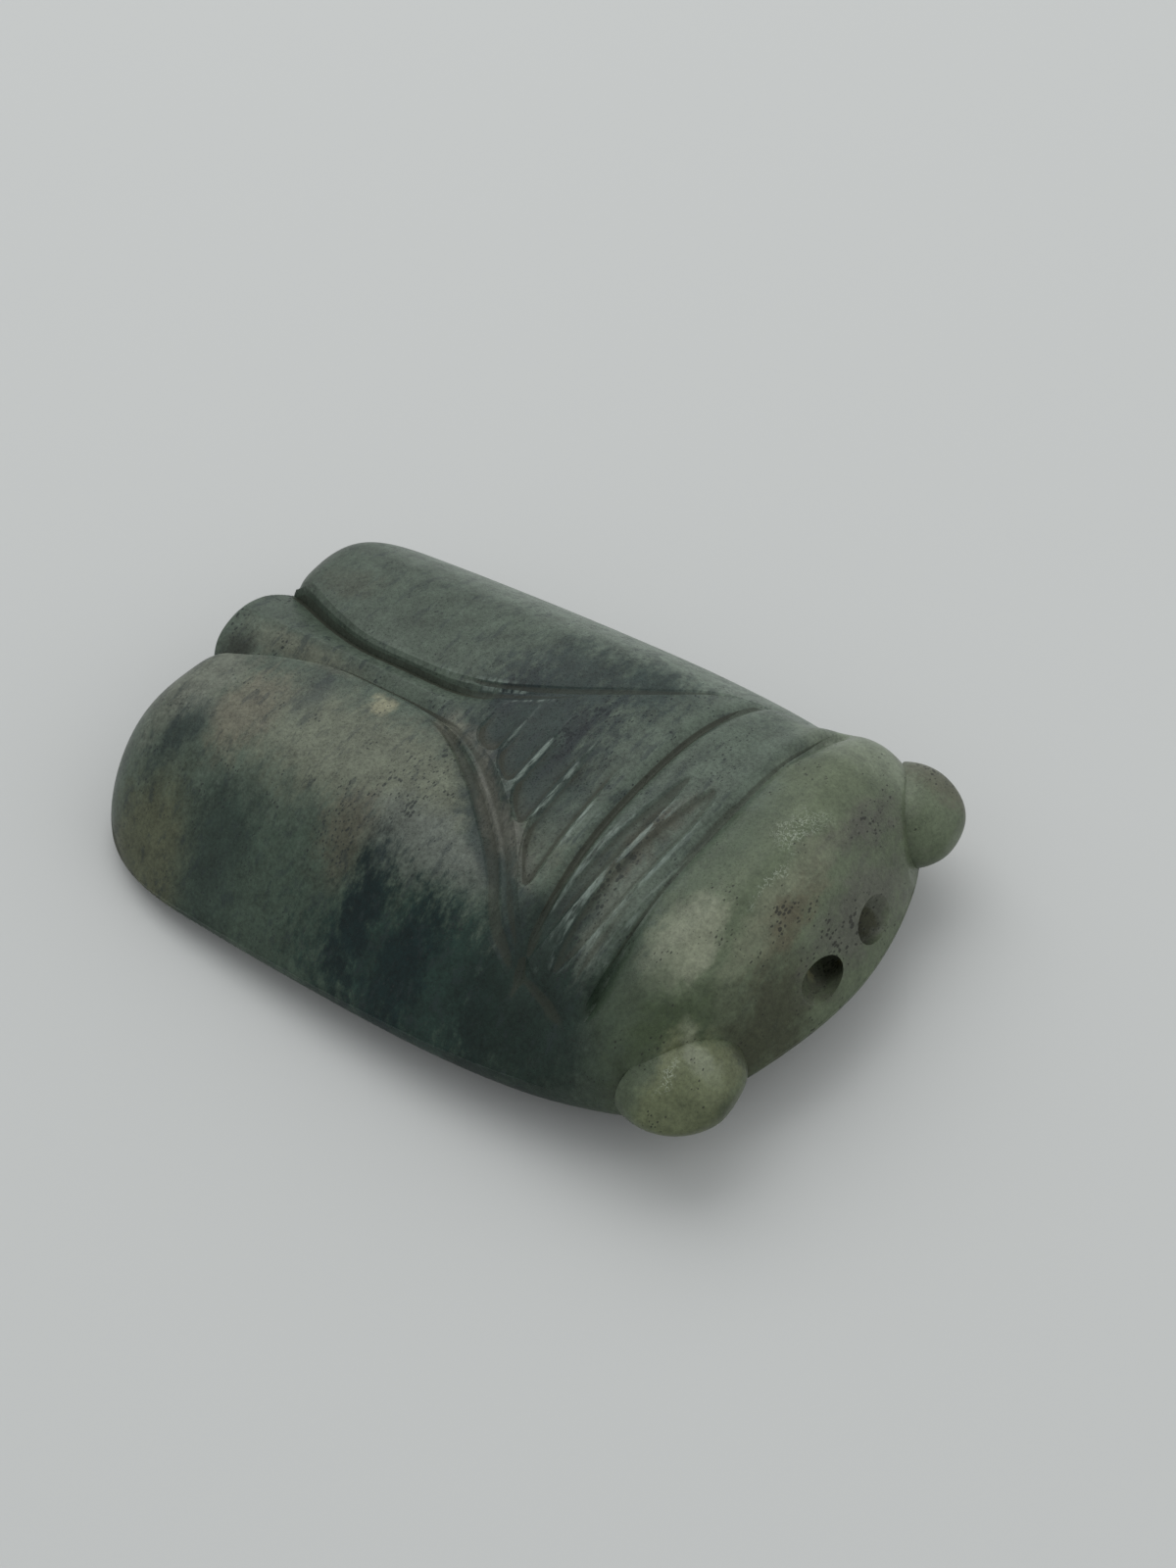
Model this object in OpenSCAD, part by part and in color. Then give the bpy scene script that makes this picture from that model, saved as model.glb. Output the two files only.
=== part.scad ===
// Jade cicada pendant, carved from one stone and divided along its carved lines.
// X is across the body, the head looks along -Y, Z is up, and the belly rests on Z = 0.

/* [Body outline] */
// Distance from the middle of the body to the nose and to the tip of the tail
half_length = 29.4; // [28:0.2:31]
// Half of the greatest width, across the folded wings
half_body = 20.7; // [19.5:0.1:21.5]
// Height of the back at the thorax
back_height = 13.9; // [13:0.1:15]
// How far the back falls per millimetre towards the tail
back_fall = 0.07; // [0.04:0.005:0.09]
// How far the front corners are rounded back behind the nose
corner_depth = 6.2; // [5:0.1:7]

/* [Wings] */
// Height by which each wing swells above the plain back
wing_swell = 1.05; // [0:0.05:1.4]
// How far the wings' crisp inner edges lie below the plain back
edge_drop = 0.75; // [0.4:0.05:0.9]
// Depth of the hollow that runs along each wing's edge
border_depth = 0.3; // [0.1:0.05:0.45]
// Half of the width between the two notches at the tail
notch_half = 4.6; // [4.2:0.1:5]

/* [Thorax and collar] */
// Height by which the thorax and collar stand above the wings beside them
step_height = 0.8; // [0.3:0.1:1.1]
// Depth of the cut behind the head and of the cut behind the collar
cut_depth = 0.6; // [0.3:0.05:0.8]
// Depth of the scooped flutes
flute_depth = 0.45; // [0.1:0.05:0.55]
// Number of flutes across the thorax
thorax_flutes = 4; // [3:1:5]

/* [Head] */
// Length over which the nose slopes up to the top of the head
nose_slope = 8; // [6.5:0.1:9]
// Radius of each cord hole
cord_hole_r = 1.2; // [1:0.1:1.4]
// Distance between the mouths of the two cord holes
cord_hole_gap = 5.7; // [5:0.1:6.4]
// Half of an eye's width, measured along the corner of the head
eye_wide = 4.6; // [4:0.1:5]
// Half of an eye's height
eye_high = 2.75; // [2.4:0.05:3]

/* [Hidden] */

// Colours of the polished stone
dark_green = [0.27, 0.32, 0.29];
mid_green = [0.32, 0.38, 0.33];
pale_green = [0.42, 0.47, 0.37];

// Where the head, collar, thorax and abdomen meet, along the body
neck_y = -17.4;
waist_y = -11.2;
apex_y = 2.4;
notch_y = 25.8;
widest_y = 3.4;

// The widest level of the stone falls from the nose to the tail, and parts the belly from the rest
water_mid = 3.25;
water_fall = 0.083;
// Upright strip left at that level, so that no edge is sharper than the stone's
land = 0.15;

// The wing lobes at the tail: middle, and their reach outwards, inwards and backwards
lobe_x = 9.9;
lobe_out = half_body - 0.2 - lobe_x;
lobe_in = 7.3;
lobe_out_y = 13.4;
lobe_in_y = 19.4;
lobe_end_y = 27.8;
lobe_power = 2.3;
// Rounder tip for a higher power
tip_power = 1.4;

// Half of the width of the raised middle, as [y, x] from the neck to the notches
middle = [[-18, 17.1], [-15.1, 15.6], [-12.2, 14.6], [-9.6, 12.2], [-6.6, 8.5], [-3.6, 5.8],
          [-0.6, 3.6], [2.4, 2.2], [5.9, 1.6], [11.4, 1.5], [15.4, 1.6], [19.4, 2.6],
          [23.4, 4.1], [25.8, notch_half]];
// Width of each wing's border, as [y, width]
border = [[-18, 0.9], [-12, 1.2], [-7.6, 2.2], [-2, 2.3], [1.4, 2.1], [5.4, 1.1], [9, 0.6],
          [18, 0.6], [26, 0.9]];
// Height of the belly's lowest line, as [y, z]
keel = [[-29.4, 4.9], [-24, 2.2], [-17, 0.25], [-12, 0], [12, 0], [22, 0], [29.4, 0.2]];

// Middle of the left eye, and how far it reaches from there. It sits on a flat on the head's
// corner: the flat's distance from that middle, its turn from X, and its lean from upright.
eye = [14.33, -24.05, 6.55];
eye_out = 4.25;
seat_out = 0.69;
seat_turn = -62.5;
seat_lean = 20.5;
seat_normal = [cos(seat_lean) * cos(seat_turn), cos(seat_lean) * sin(seat_turn),
               sin(seat_lean)];

// The mouths of the cord holes, and the point inside where the two holes meet
mouth_y = -28;
mouth_z = 8.2;
meet_y = -26;
meet_z = 6.9;

// Steps of the carved surfaces
neck_rows = 16;
thorax_rows = 28;
strip_rows = 26;
tail_rows = 8;
middle_cols = 24;
strip_cols = 10;
border_cols = 4;
shield_cols = 13;
head_rows = 16;
head_cols = 30;
belly_rows = 30;
belly_cols = 24;
eye_rings = 8;
eye_sides = 24;

// ---- plain helpers ----

function ease(t) = let (u = min(max(t, 0), 1)) u * u * (3 - 2 * u);
function bump(t) = exp(-t * t);
function mix(a, b, t) = a + (b - a) * t;
// Both ends of a row are close-set, as where a surface turns over an edge
function both_ends(t) = (1 - cos(180 * t)) / 2;
// A corner that bends like a circle, squarer for a higher power
function bend(t, power) = pow(max(0, 1 - pow(min(max(t, 0), 1), power)), 1 / power);

// Smooth curve through stations [y, value]: a cubic between each pair, with shared slopes
function slope_at(rows, i) =
    let (a = max(i - 1, 0), b = min(i + 1, len(rows) - 1))
    (rows[b][1] - rows[a][1]) / (rows[b][0] - rows[a][0]);
function through(rows, y, i = 0) =
    i < len(rows) - 2 && y > rows[i + 1][0] ? through(rows, y, i + 1) :
    let (h = rows[i + 1][0] - rows[i][0],
         t = min(max((y - rows[i][0]) / h, 0), 1),
         m0 = slope_at(rows, i) * h,
         m1 = slope_at(rows, i + 1) * h)
    (2 * t * t * t - 3 * t * t + 1) * rows[i][1] + (t * t * t - 2 * t * t + t) * m0
    + (3 * t * t - 2 * t * t * t) * rows[i + 1][1] + (t * t * t - t * t) * m1;

// ---- outlines seen from above ----

function half_width(y) = y < widest_y
    ? half_body - 0.00019 * pow(widest_y - y, 3)
    : half_body - 0.0019 * pow(y - widest_y, 2);
// The nose: how far forward the outline reaches at the fraction s of the half width
function nose_edge(s) = -half_length + corner_depth * (1 - bend(s, 1.86));
// Wing lobes: their two sides at y, and their end at x
function lobe_outer(y) = y < lobe_out_y ? half_width(y) :
    lobe_x + lobe_out * bend((y - lobe_out_y) / (lobe_end_y - lobe_out_y), lobe_power);
function lobe_inner(y) =
    lobe_x - lobe_in * bend((y - lobe_in_y) / (lobe_end_y - lobe_in_y), lobe_power);
function lobe_end(x) = x < lobe_x
    ? mix(lobe_in_y, lobe_end_y, bend((lobe_x - x) / lobe_in, lobe_power))
    : mix(lobe_out_y, lobe_end_y, bend((x - lobe_x) / lobe_out, lobe_power));
// The tip between the notches, and half of its width at y
function tip_end(x) = half_length - (half_length - notch_y) * pow(x / notch_half, tip_power);
function tip_half(y) =
    notch_half * pow((half_length - y) / (half_length - notch_y), 1 / tip_power);
function tail_edge(x) = abs(x) < notch_half ? tip_end(abs(x)) : lobe_end(abs(x));

// ---- heights ----

function water(y) = water_mid - water_fall * y;
// Level in front, then falling towards the tail, with a soft turn between
function crown(y) = back_height - back_fall * (y + 4 + sqrt((y + 4) * (y + 4) + 36)) / 2;
// Cross-section: full height in the middle, none at the edge, squarer at the head
function section(s, y) =
    let (at_head = ease((-14.6 - y) / 7))
    pow(max(0, 1 - pow(min(s, 1), mix(2.13, 2.24, at_head))), 1 / mix(1.22, 2.8, at_head));
function nose_roll(s, y) =
    let (u = min(max(1 - (y - nose_edge(s)) / nose_slope, 0), 1)) pow(1 - pow(u, 1.7), 0.8);
// The back rolls down to the tail's edge, and drops steeply into the notches
function tail_roll(x, y) =
    let (away = abs(x) - notch_half, past = tail_edge(x) - y)
    away < 0 ? bend(1 - past / mix(4.8, 1.1, bump(away / 4)), 1.4)
             : bend(1 - past / mix(4.8, 3, bump(away / 2.2)), 2);
// Two falls to nothing met in one rounded corner
function together(a, b) =
    pow(pow(max(a, 0.001), -3) + pow(max(b, 0.001), -3) - 1, -1 / 3);

// How much longer a step across is than the square distance to the raised middle's edge
function slant(y) =
    let (lean = (through(middle, y + 0.2) - through(middle, y - 0.2)) / 0.4)
    sqrt(1 + lean * lean);
// Square distance out from that edge
function beside(x, y) = (abs(x) - through(middle, y)) / slant(y);

// 1 beside the thorax and collar, 0 beside the ridge of the abdomen
function fore(y) = 1 - ease((y - 2.4) / 5);
// How far the middle sinks below the plain back, from the thorax to the abdomen's ridge
function sink(y) = 1.2 * ease((y + 4) / 9);
// Height by which the thorax and collar stand above the plain back, away from the middle
function plateau(x, y) = step_height * (1 - bump(x / 8)) * (1 - ease((abs(x) - 13.5) / 4))
    * (1 - ease((y + 4) / 9));

// Scooped hollow from t = 0 to t = 1
function hollow(t) = t <= 0 || t >= 1 ? 0 : pow(sin(180 * t), 0.8);

// The wing rises steeply from its crisp edge, then swells to its fullest
function shield_drop(y) = edge_drop * ease((y + 11) / 12);
function shield(x, y, past) =
    wing_swell * bump((abs(x) - 11.6) / 5) * ease((y + 12.6) / 10) * (1 - exp(-past / 3))
    - shield_drop(y) * exp(-past / 2.5);
// Beside the thorax, from the raised middle to the wing's edge: a falling band, then a hollow
function fore_border(x, y, t) =
    t > 0.5 ? -shield_drop(y) - border_depth * ease((y + 13) / 4) * hollow(2 * t - 1)
            : mix(plateau(x, y) - sink(y), -shield_drop(y), 2 * t);
// Beside the abdomen: a wall up from the gutter, then a narrow bevel
function rear_border(y, t) =
    let (fall = sink(y) + roof(y) - shield_drop(y))
    -shield_drop(y) - fall * (t < 0.45 ? mix(1, 0.25, t / 0.45) : mix(0.25, 0, (t - 0.45) / 0.55));
function wing_relief(x, y, d) =
    let (w = through(border, y), t = max(0, d / w))
    t > 1 ? shield(x, y, d - w) : mix(rear_border(y, t), fore_border(x, y, t), fore(y));

// Ridge of the abdomen: a roof with a crisp top line between two gutters
function roof(y) = mix(0.65, 1.45, ease((y - 13) / 12));
function ridge(x, y) = -roof(y) * min(1, abs(x) / through(middle, y));

// Hollow like half of a long egg: p runs across it from -1 to 1, q is 1 at its end
function long_hollow(p, q, depth) =
    let (u = min(max(q, 0), 1)) -depth * sqrt(max(0, 1 - p * p - u * u));
// Straight across the thorax, cut deep with round ends on the right half and faint on the left
function thorax_flute(x, y, d) =
    let (t = (2.2 - y + 0.05 * (x + 4)) / 11.4 * thorax_flutes,
         deep = flute_depth * (0.15 + 0.85 * ease((2.2 - x) / 4.5)))
    t < 0 || t > thorax_flutes ? 0 : long_hollow(2 * (t - floor(t)) - 1, 1 + d / 1.3, deep);
// Three long hollows on the collar's right half, a little askew
function collar_flute(x, y) =
    let (skew = y + 0.07 * (x + 7), q = x > -6 ? (x + 6) / 8.5 : -(x + 6) / 8.6)
    long_hollow((skew + 12.6) / 0.7, q, 0.67 * flute_depth)
    + long_hollow((skew + 14.7) / 1.15, q, 0.93 * flute_depth)
    + long_hollow((skew + 16.4) / 0.55, q, 0.45 * flute_depth);

// Rounded V-shaped cuts behind the head and behind the collar, bowed a little; the first is
// deepest towards the sides
function v_cut(t, w) = exp(-pow(abs(t / w * 1.6), 1.5));
function neck_cut(x, y) = v_cut(y + 17.3 + 0.002 * x * x, 0.9) * (1 + ease((abs(x) - 7) / 5));
function waist_cut(x, y) = v_cut(y + 10.75 + 0.005 * x * x, 0.8);

function middle_relief(x, y, d) =
    plateau(x, y) - sink(y) + (1 - fore(y)) * ridge(x, y)
    + fore(y) * (thorax_flute(x, y, d) + collar_flute(x, y));

function relief(x, y) =
    let (d = beside(x, y))
    (d > 0 ? wing_relief(x, y, d) : middle_relief(x, y, d)) * ease((y + 18.6) / 1.4)
    - cut_depth * ease((17.4 - abs(x)) / 3) * (neck_cut(x, y) + waist_cut(x, y));

// Height of the finished stone above the point x, y
function top(x, y) =
    let (s = abs(x) / half_width(y), nose = nose_roll(min(s, 1), y),
         plain = (crown(y) - water(y)) * together(section(s, y), nose),
         carved = relief(x, y) * min(1, 3 * max(0, 1 - s * s)) * nose)
    max(water(y) + land, water(y) + (plain + carved) * tail_roll(x, y));

// Depth of the underside: a flat belly that lifts towards the nose and rounds up at its edges
function under(x, y) =
    let (s = min(1, abs(x) / half_width(min(y, lobe_out_y))),
         front = bend(1 - (y - nose_edge(s)) / 3, 2),
         rear = bend(1 - (tail_edge(x) - y) / 3, 2))
    min(water(y) - land,
        mix(water(y), max(0, through(keel, y)), bend((s - 0.3) / 0.7, 2.6) * front * rear));

// The corners of the head are pressed back to the flats that the eyes sit on: level for the skin,
// and along the parting level for the foot
function past_seat(p) = max(0, ([abs(p.x), p.y, p.z] - eye) * seat_normal - seat_out);
function push(p, out, step) =
    p - out / (step * seat_normal) * [sign(p.x) * step.x, step.y, step.z];
function skin_point(x, y, z) =
    let (p = [x, y, z]) push(p, past_seat(p), [cos(seat_turn), sin(seat_turn), 0]);
function foot_point(x, y) =
    let (p = [x, y, water(y)])
    push(p, past_seat(p), [cos(seat_turn), sin(seat_turn), -water_fall * sin(seat_turn)]);

// ---- solids ----

// A carved block: a grid of plan points, its top at the finished height, its foot on the
// parting level. Its rows crossed with its columns face down, as X and Y do when rows run along Y.
module block(grid) {
    closed([for (row = grid) [for (p = row) skin_point(p.x, p.y, top(p.x, p.y))]],
           [for (row = grid) [for (p = row) foot_point(p.x, p.y)]]);
}

// Solid between a carved sheet and the flat face behind it, both given as the same grid. The flat
// needs only its rim: rungs join its two long sides, and a fan fills each end.
module closed(sheet, flat) {
    m = len(sheet);
    n = len(sheet[0]);
    rim = concat([for (j = [0 : n - 1]) [0, j]], [for (i = [1 : m - 1]) [i, n - 1]],
                 [for (j = [n - 2 : -1 : 0]) [m - 1, j]], [for (i = [m - 2 : -1 : 1]) [i, 0]]);
    count = len(rim);
    base = m * n;
    function left(i) = base + (count - i) % count;
    function right(i) = base + n - 1 + i;
    function rear(j) = base + count - m + 1 - j;
    skin = [for (i = [0 : m - 2]) for (j = [0 : n - 2]) let (a = i * n + j)
            each [[a, a + n, a + n + 1], [a, a + n + 1, a + 1]]];
    sides = [for (k = [0 : count - 1]) let (l = (k + 1) % count,
             a = rim[k].x * n + rim[k].y, b = rim[l].x * n + rim[l].y)
             each [[base + k, a, b], [base + k, b, base + l]]];
    rungs = [for (i = [1 : m - 3]) each [[left(i), right(i), right(i + 1)],
                                         [left(i), right(i + 1), left(i + 1)]]];
    fans = [for (j = [0 : n - 2]) each [[base + j, base + j + 1, right(1)],
                                        [right(m - 2), rear(j + 1), rear(j)]]];
    ends = [[base, right(1), left(1)], [left(m - 2), right(m - 2), rear(0)]];
    polyhedron(concat([for (row = sheet) each row], [for (r = rim) flat[r.x][r.y]]),
               concat(skin, sides, rungs, fans, ends), convexity = 8);
}

function rows_between(a, b, count) = [for (i = [0 : count]) mix(a, b, i / count)];
middle_ys = concat(rows_between(neck_y, waist_y, neck_rows),
                   [for (y = rows_between(waist_y, apex_y, thorax_rows)) if (y > waist_y) y],
                   [for (y = rows_between(apex_y, notch_y, strip_rows)) if (y > apex_y) y]);
// Grid across the raised middle between two rows
function across(ys, cols) =
    [for (y = ys) [for (j = [0 : cols]) [mix(-1, 1, j / cols) * through(middle, y), y]]];

module collar() {
    color(mid_green)
    block(across(rows_between(neck_y, waist_y, neck_rows), middle_cols));
}

module thorax() {
    color(dark_green)
    block(across(rows_between(waist_y, apex_y, thorax_rows), middle_cols));
}

// Ridge between the wings, and the rounded tip of the tail past the notches
module abdomen() {
    tail = [for (i = [1 : tail_rows]) mix(notch_y, half_length - 0.15, sin(90 * i / tail_rows))];
    tip = [for (y = tail) [for (j = [0 : strip_cols])
           [mix(-1, 1, j / strip_cols) * tip_half(y), y]]];
    color(dark_green)
    block(concat(across(rows_between(apex_y, notch_y, strip_rows), strip_cols), tip));
}

// Folded wing: from the neck back to its lobe, and from the raised middle, across the border and
// the shield, out to the side
module wing() {
    tail = [for (i = [1 : tail_rows]) mix(notch_y, lobe_end_y - 0.1, sin(90 * i / tail_rows))];
    grid = [for (y = concat(middle_ys, tail))
            let (a = y > notch_y ? lobe_inner(y) : through(middle, y),
                 b = lobe_outer(y),
                 c = a + min(through(border, min(y, notch_y)) * slant(min(y, notch_y)),
                             0.4 * (b - a)))
            concat([for (j = [0 : border_cols]) [mix(a, c, j / border_cols), y]],
                   [for (j = [1 : shield_cols]) [mix(c, b, both_ends(j / shield_cols)), y]])];
    color(mid_green)
    block(grid);
}

module left_wing() wing();
module right_wing() mirror([1, 0, 0]) wing();

// Head without its eyes: a wedge with a rounded nose, and two slanting cord holes that meet inside
module head() {
    grid = [for (j = [0 : head_cols]) let (s = cos(180 * j / head_cols))
            [for (i = [0 : head_rows])
             let (y = mix(nose_edge(abs(s)), neck_y, pow(i / head_rows, 1.4)))
             [s * half_width(y), y]]];
    color(pale_green)
    difference() {
        block(grid);
        for (side = [-1, 1]) cord_hole(side);
    }
}

// Drilled from outside the mouth to just past the point where the two holes meet
module cord_hole(side) {
    mouth = [side * cord_hole_gap / 2, mouth_y, mouth_z];
    inward = [0, meet_y, meet_z] - mouth;
    tilt = acos(inward.z / norm(inward));
    turn = atan2(inward.y, inward.x);
    translate(mouth)
    rotate([0, tilt, turn])
    translate([0, 0, -3])
    cylinder(h = norm(inward) + 3.5, r = cord_hole_r, $fn = 48);
}

// Eye: a flattened ball cut off by its seat. The rings run round a ball of radius 1 that is then
// stretched to size, so the seat's normal and distance are first brought to that ball's measure.
module eye() {
    normal = [eye_out * cos(seat_lean), eye_high * sin(seat_lean)];
    start = asin(seat_out / norm(normal));
    points = concat([for (i = [0 : eye_rings - 1]) let (b = mix(start, 90, i / eye_rings))
                     for (k = [0 : eye_sides - 1]) let (a = 360 * k / eye_sides)
                     [cos(b) * cos(a), cos(b) * sin(a), sin(b)]], [[0, 0, 1]]);
    pole = len(points) - 1;
    sheet = [for (i = [0 : eye_rings - 2]) for (k = [0 : eye_sides - 1])
             let (a = i * eye_sides + k, b = i * eye_sides + (k + 1) % eye_sides)
             each [[a, b + eye_sides, b], [a, a + eye_sides, b + eye_sides]]];
    cap = [for (k = [0 : eye_sides - 1]) [pole - eye_sides + k, pole,
                                          pole - eye_sides + (k + 1) % eye_sides]];
    color(pale_green)
    translate(eye)
    rotate([0, 0, seat_turn])
    scale([eye_out, eye_wide, eye_high])
    rotate([0, atan2(normal.x, normal.y), 0])
    polyhedron(points, concat(sheet, cap, [[for (k = [0 : eye_sides - 1]) k]]), convexity = 4);
}

module left_eye() eye();
module right_eye() mirror([1, 0, 0]) eye();

// Underside, from the parting level down to the flat that the cicada rests on. Its rows run along
// X and its columns along Y, which turns its carved sheet to face down.
module belly() {
    grid = [for (j = [0 : belly_cols])
            let (s = -cos(180 * j / belly_cols), a = nose_edge(abs(s)),
                 b = tail_edge(s * (lobe_x + lobe_out)))
            [for (i = [0 : belly_rows])
             let (y = mix(a, b, both_ends(i / belly_rows)))
             [s * half_width(min(y, lobe_out_y)), y]]];
    color(mid_green)
    closed([for (row = grid) [for (p = row) skin_point(p.x, p.y, under(p.x, p.y))]],
           [for (row = grid) [for (p = row) foot_point(p.x, p.y)]]);
}

belly();
abdomen();
right_wing();
left_wing();
thorax();
collar();
head();
right_eye();
left_eye();
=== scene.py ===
# %% [markdown]
# # A cicada carved in jade
#
# One block of stone, cut as a resting cicada: a broad head with two knob eyes, a collar, a fluted
# thorax, two folded wings, and the ridge of the abdomen between them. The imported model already
# holds the nine solids in their places. This lesson gives each of them a finely carved surface and
# the look of polished nephrite.

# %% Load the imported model
import bpy
import numpy as np
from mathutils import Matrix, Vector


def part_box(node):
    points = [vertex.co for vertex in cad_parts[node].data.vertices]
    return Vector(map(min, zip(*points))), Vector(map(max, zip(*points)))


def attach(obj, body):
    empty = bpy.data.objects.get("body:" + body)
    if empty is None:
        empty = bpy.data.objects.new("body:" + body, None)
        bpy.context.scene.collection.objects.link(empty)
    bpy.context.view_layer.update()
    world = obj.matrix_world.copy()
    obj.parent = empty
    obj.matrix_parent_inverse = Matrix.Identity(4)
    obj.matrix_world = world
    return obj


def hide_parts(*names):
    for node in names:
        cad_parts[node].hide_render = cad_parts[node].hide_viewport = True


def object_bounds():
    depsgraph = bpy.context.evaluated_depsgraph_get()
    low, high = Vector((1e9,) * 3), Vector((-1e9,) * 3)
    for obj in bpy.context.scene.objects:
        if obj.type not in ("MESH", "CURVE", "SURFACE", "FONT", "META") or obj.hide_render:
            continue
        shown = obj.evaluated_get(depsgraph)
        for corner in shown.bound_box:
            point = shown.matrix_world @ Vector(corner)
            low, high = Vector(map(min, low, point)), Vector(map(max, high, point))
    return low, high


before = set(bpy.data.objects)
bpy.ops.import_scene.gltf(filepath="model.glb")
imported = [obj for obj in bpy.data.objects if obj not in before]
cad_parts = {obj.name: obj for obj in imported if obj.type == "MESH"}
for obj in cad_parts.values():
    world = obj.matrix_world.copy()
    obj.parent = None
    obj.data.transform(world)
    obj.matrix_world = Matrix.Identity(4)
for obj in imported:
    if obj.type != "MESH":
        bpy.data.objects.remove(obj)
cad_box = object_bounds()
print("nodes:", sorted(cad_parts))

# %% [markdown]
# ## Sizes that come from the solids
#
# A carver marks the blank before cutting: the length, the width, and where the head, the collar and
# the thorax end. Those marks are read back from the solids, so that the carved skins fit them. All
# the shapes below are worked out in millimetres and turned into metres when a mesh is made.

# %% Read the marks
MM = 0.001


def corners(node):
    """Lowest and highest corner of a solid, in millimetres."""
    low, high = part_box(node)
    return np.array(low) / MM, np.array(high) / MM


half_length = cad_box[1][1] / MM
half_body = corners("left_wing")[1][0]
neck_y, waist_y = corners("collar")[0][1], corners("collar")[1][1]
apex_y = corners("thorax")[1][1]
print(f"half length {half_length:.2f}, half width {half_body:.2f}")
print(f"neck {neck_y:.2f}, waist {waist_y:.2f}, apex {apex_y:.2f}")

# %% [markdown]
# ## Small tools for curves
#
# Every form here is a formula. A few plain curves are enough for all of them: an eased step, a soft
# bump, a rounded corner, and a smooth line through a list of stations. They take whole arrays, so
# no loop over points is needed.

# %% Curves


def ease(t):
    """Smooth step: 0 below 0, 1 above 1, and three t squared minus two t cubed between."""
    u = np.clip(t, 0, 1)
    return u * u * (3 - 2 * u)


def bump(t):
    """Soft bell: e to the power of minus t squared."""
    return np.exp(-t * t)


def mix(a, b, t):
    """Straight blend from a to b."""
    return a + (b - a) * t


def both_ends(count):
    """Steps from 0 to 1 that crowd together at both ends, like the shadow of a turning wheel."""
    return (1 - np.cos(np.pi * np.linspace(0, 1, count))) / 2


def bend(t, power):
    """Rounded corner: the power-th root of one minus t to that power; a circle at power 2."""
    return np.maximum(0, 1 - np.clip(t, 0, 1) ** power) ** (1 / power)


def through(rows, y):
    """Smooth line through stations (y, value): a cubic between each pair, with shared slopes."""
    at, value = np.array(rows, float).T
    slope = np.empty_like(value)
    slope[1:-1] = (value[2:] - value[:-2]) / (at[2:] - at[:-2])
    slope[0] = (value[1] - value[0]) / (at[1] - at[0])
    slope[-1] = (value[-1] - value[-2]) / (at[-1] - at[-2])
    i = np.clip(np.searchsorted(at, y, side="right") - 1, 0, len(at) - 2)
    h = at[i + 1] - at[i]
    t = np.clip((y - at[i]) / h, 0, 1)
    return ((2 * t**3 - 3 * t**2 + 1) * value[i] + (t**3 - 2 * t**2 + t) * slope[i] * h
            + (3 * t**2 - 2 * t**3) * value[i + 1] + (t**3 - t**2) * slope[i + 1] * h)


print("curve tools ready")

# %% [markdown]
# ## The outline seen from above
#
# The body is widest across the wings and narrows a little towards both ends. In front the corners
# are rounded back behind the nose. At the tail each wing ends in a round lobe, and the tip of the
# abdomen looks out between them.

# %% Outline formulas
nose_y = -29.4
corner_depth = 6.2
widest_y = 3.4
notch_half, notch_y, tip_y = 4.6, 25.8, 29.4
lobe_x = 9.9
lobe_out, lobe_in = half_body - 0.2 - lobe_x, 7.3
lobe_out_y, lobe_in_y, lobe_end_y = 13.4, 19.4, 27.8
lobe_power, tip_power = 2.3, 1.4


def half_width(y):
    """Half the width: it falls with the cube of the distance forward, the square backward."""
    return np.where(y < widest_y, half_body - 0.00019 * np.abs(widest_y - y) ** 3,
                    half_body - 0.0019 * (y - widest_y) ** 2)


def nose_edge(s):
    """Front of the outline at the fraction s of the half width: a rounded corner."""
    return nose_y + corner_depth * (1 - bend(s, 1.86))


def lobe_outer(y):
    """Outer side of a wing's lobe: the body's side, then a quarter of a rounded square."""
    turned = lobe_x + lobe_out * bend((y - lobe_out_y) / (lobe_end_y - lobe_out_y), lobe_power)
    return np.where(y < lobe_out_y, half_width(y), turned)


def lobe_inner(y):
    """Inner side of a wing's lobe, behind the notch."""
    return lobe_x - lobe_in * bend((y - lobe_in_y) / (lobe_end_y - lobe_in_y), lobe_power)


def tail_edge(x):
    """Rear of the outline at x: the tip between the notches, and the lobe's end beside it."""
    x = np.abs(x)
    tip = tip_y - (tip_y - notch_y) * np.minimum(x / notch_half, 1) ** tip_power
    inner = mix(lobe_in_y, lobe_end_y, bend((lobe_x - x) / lobe_in, lobe_power))
    outer = mix(lobe_out_y, lobe_end_y, bend((x - lobe_x) / lobe_out, lobe_power))
    return np.where(x < notch_half, tip, np.where(x < lobe_x, inner, outer))


def tip_half(y):
    """Half the width of the abdomen's tip at y."""
    return notch_half * np.maximum(0, (tip_y - y) / (tip_y - notch_y)) ** (1 / tip_power)


print("notch at", notch_y, "and lobes end at", lobe_end_y)

# %% [markdown]
# ## The plain blank
#
# Before any line is cut, the blank is a smooth pebble: an arched back that falls a little towards
# the tail, a flat underside, and a rounded nose. One formula gives the height of its back, and the
# carving is added to it afterwards. The widest level of the pebble is a gently tilted plane.

# %% Blank formulas
water_mid, water_fall, land = 3.25, 0.083, 0.15
back_height, back_fall = 13.9, 0.07
nose_slope = 8.0


def water(y):
    """Widest level of the stone: a plane that falls from the nose to the tail."""
    return water_mid - water_fall * y


def crown(y):
    """Height of the back along its middle: level in front, then falling, with a soft turn."""
    past = y + 4
    return back_height - back_fall * (past + np.sqrt(past * past + 36)) / 2


def section(s, y):
    """Arch across the body: full height in the middle, none at the side, squarer at the head."""
    at_head = ease((-14.6 - y) / 7)
    arch = np.maximum(0, 1 - np.minimum(s, 1) ** mix(2.13, 2.24, at_head))
    return arch ** (1 / mix(1.22, 2.8, at_head))


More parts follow.
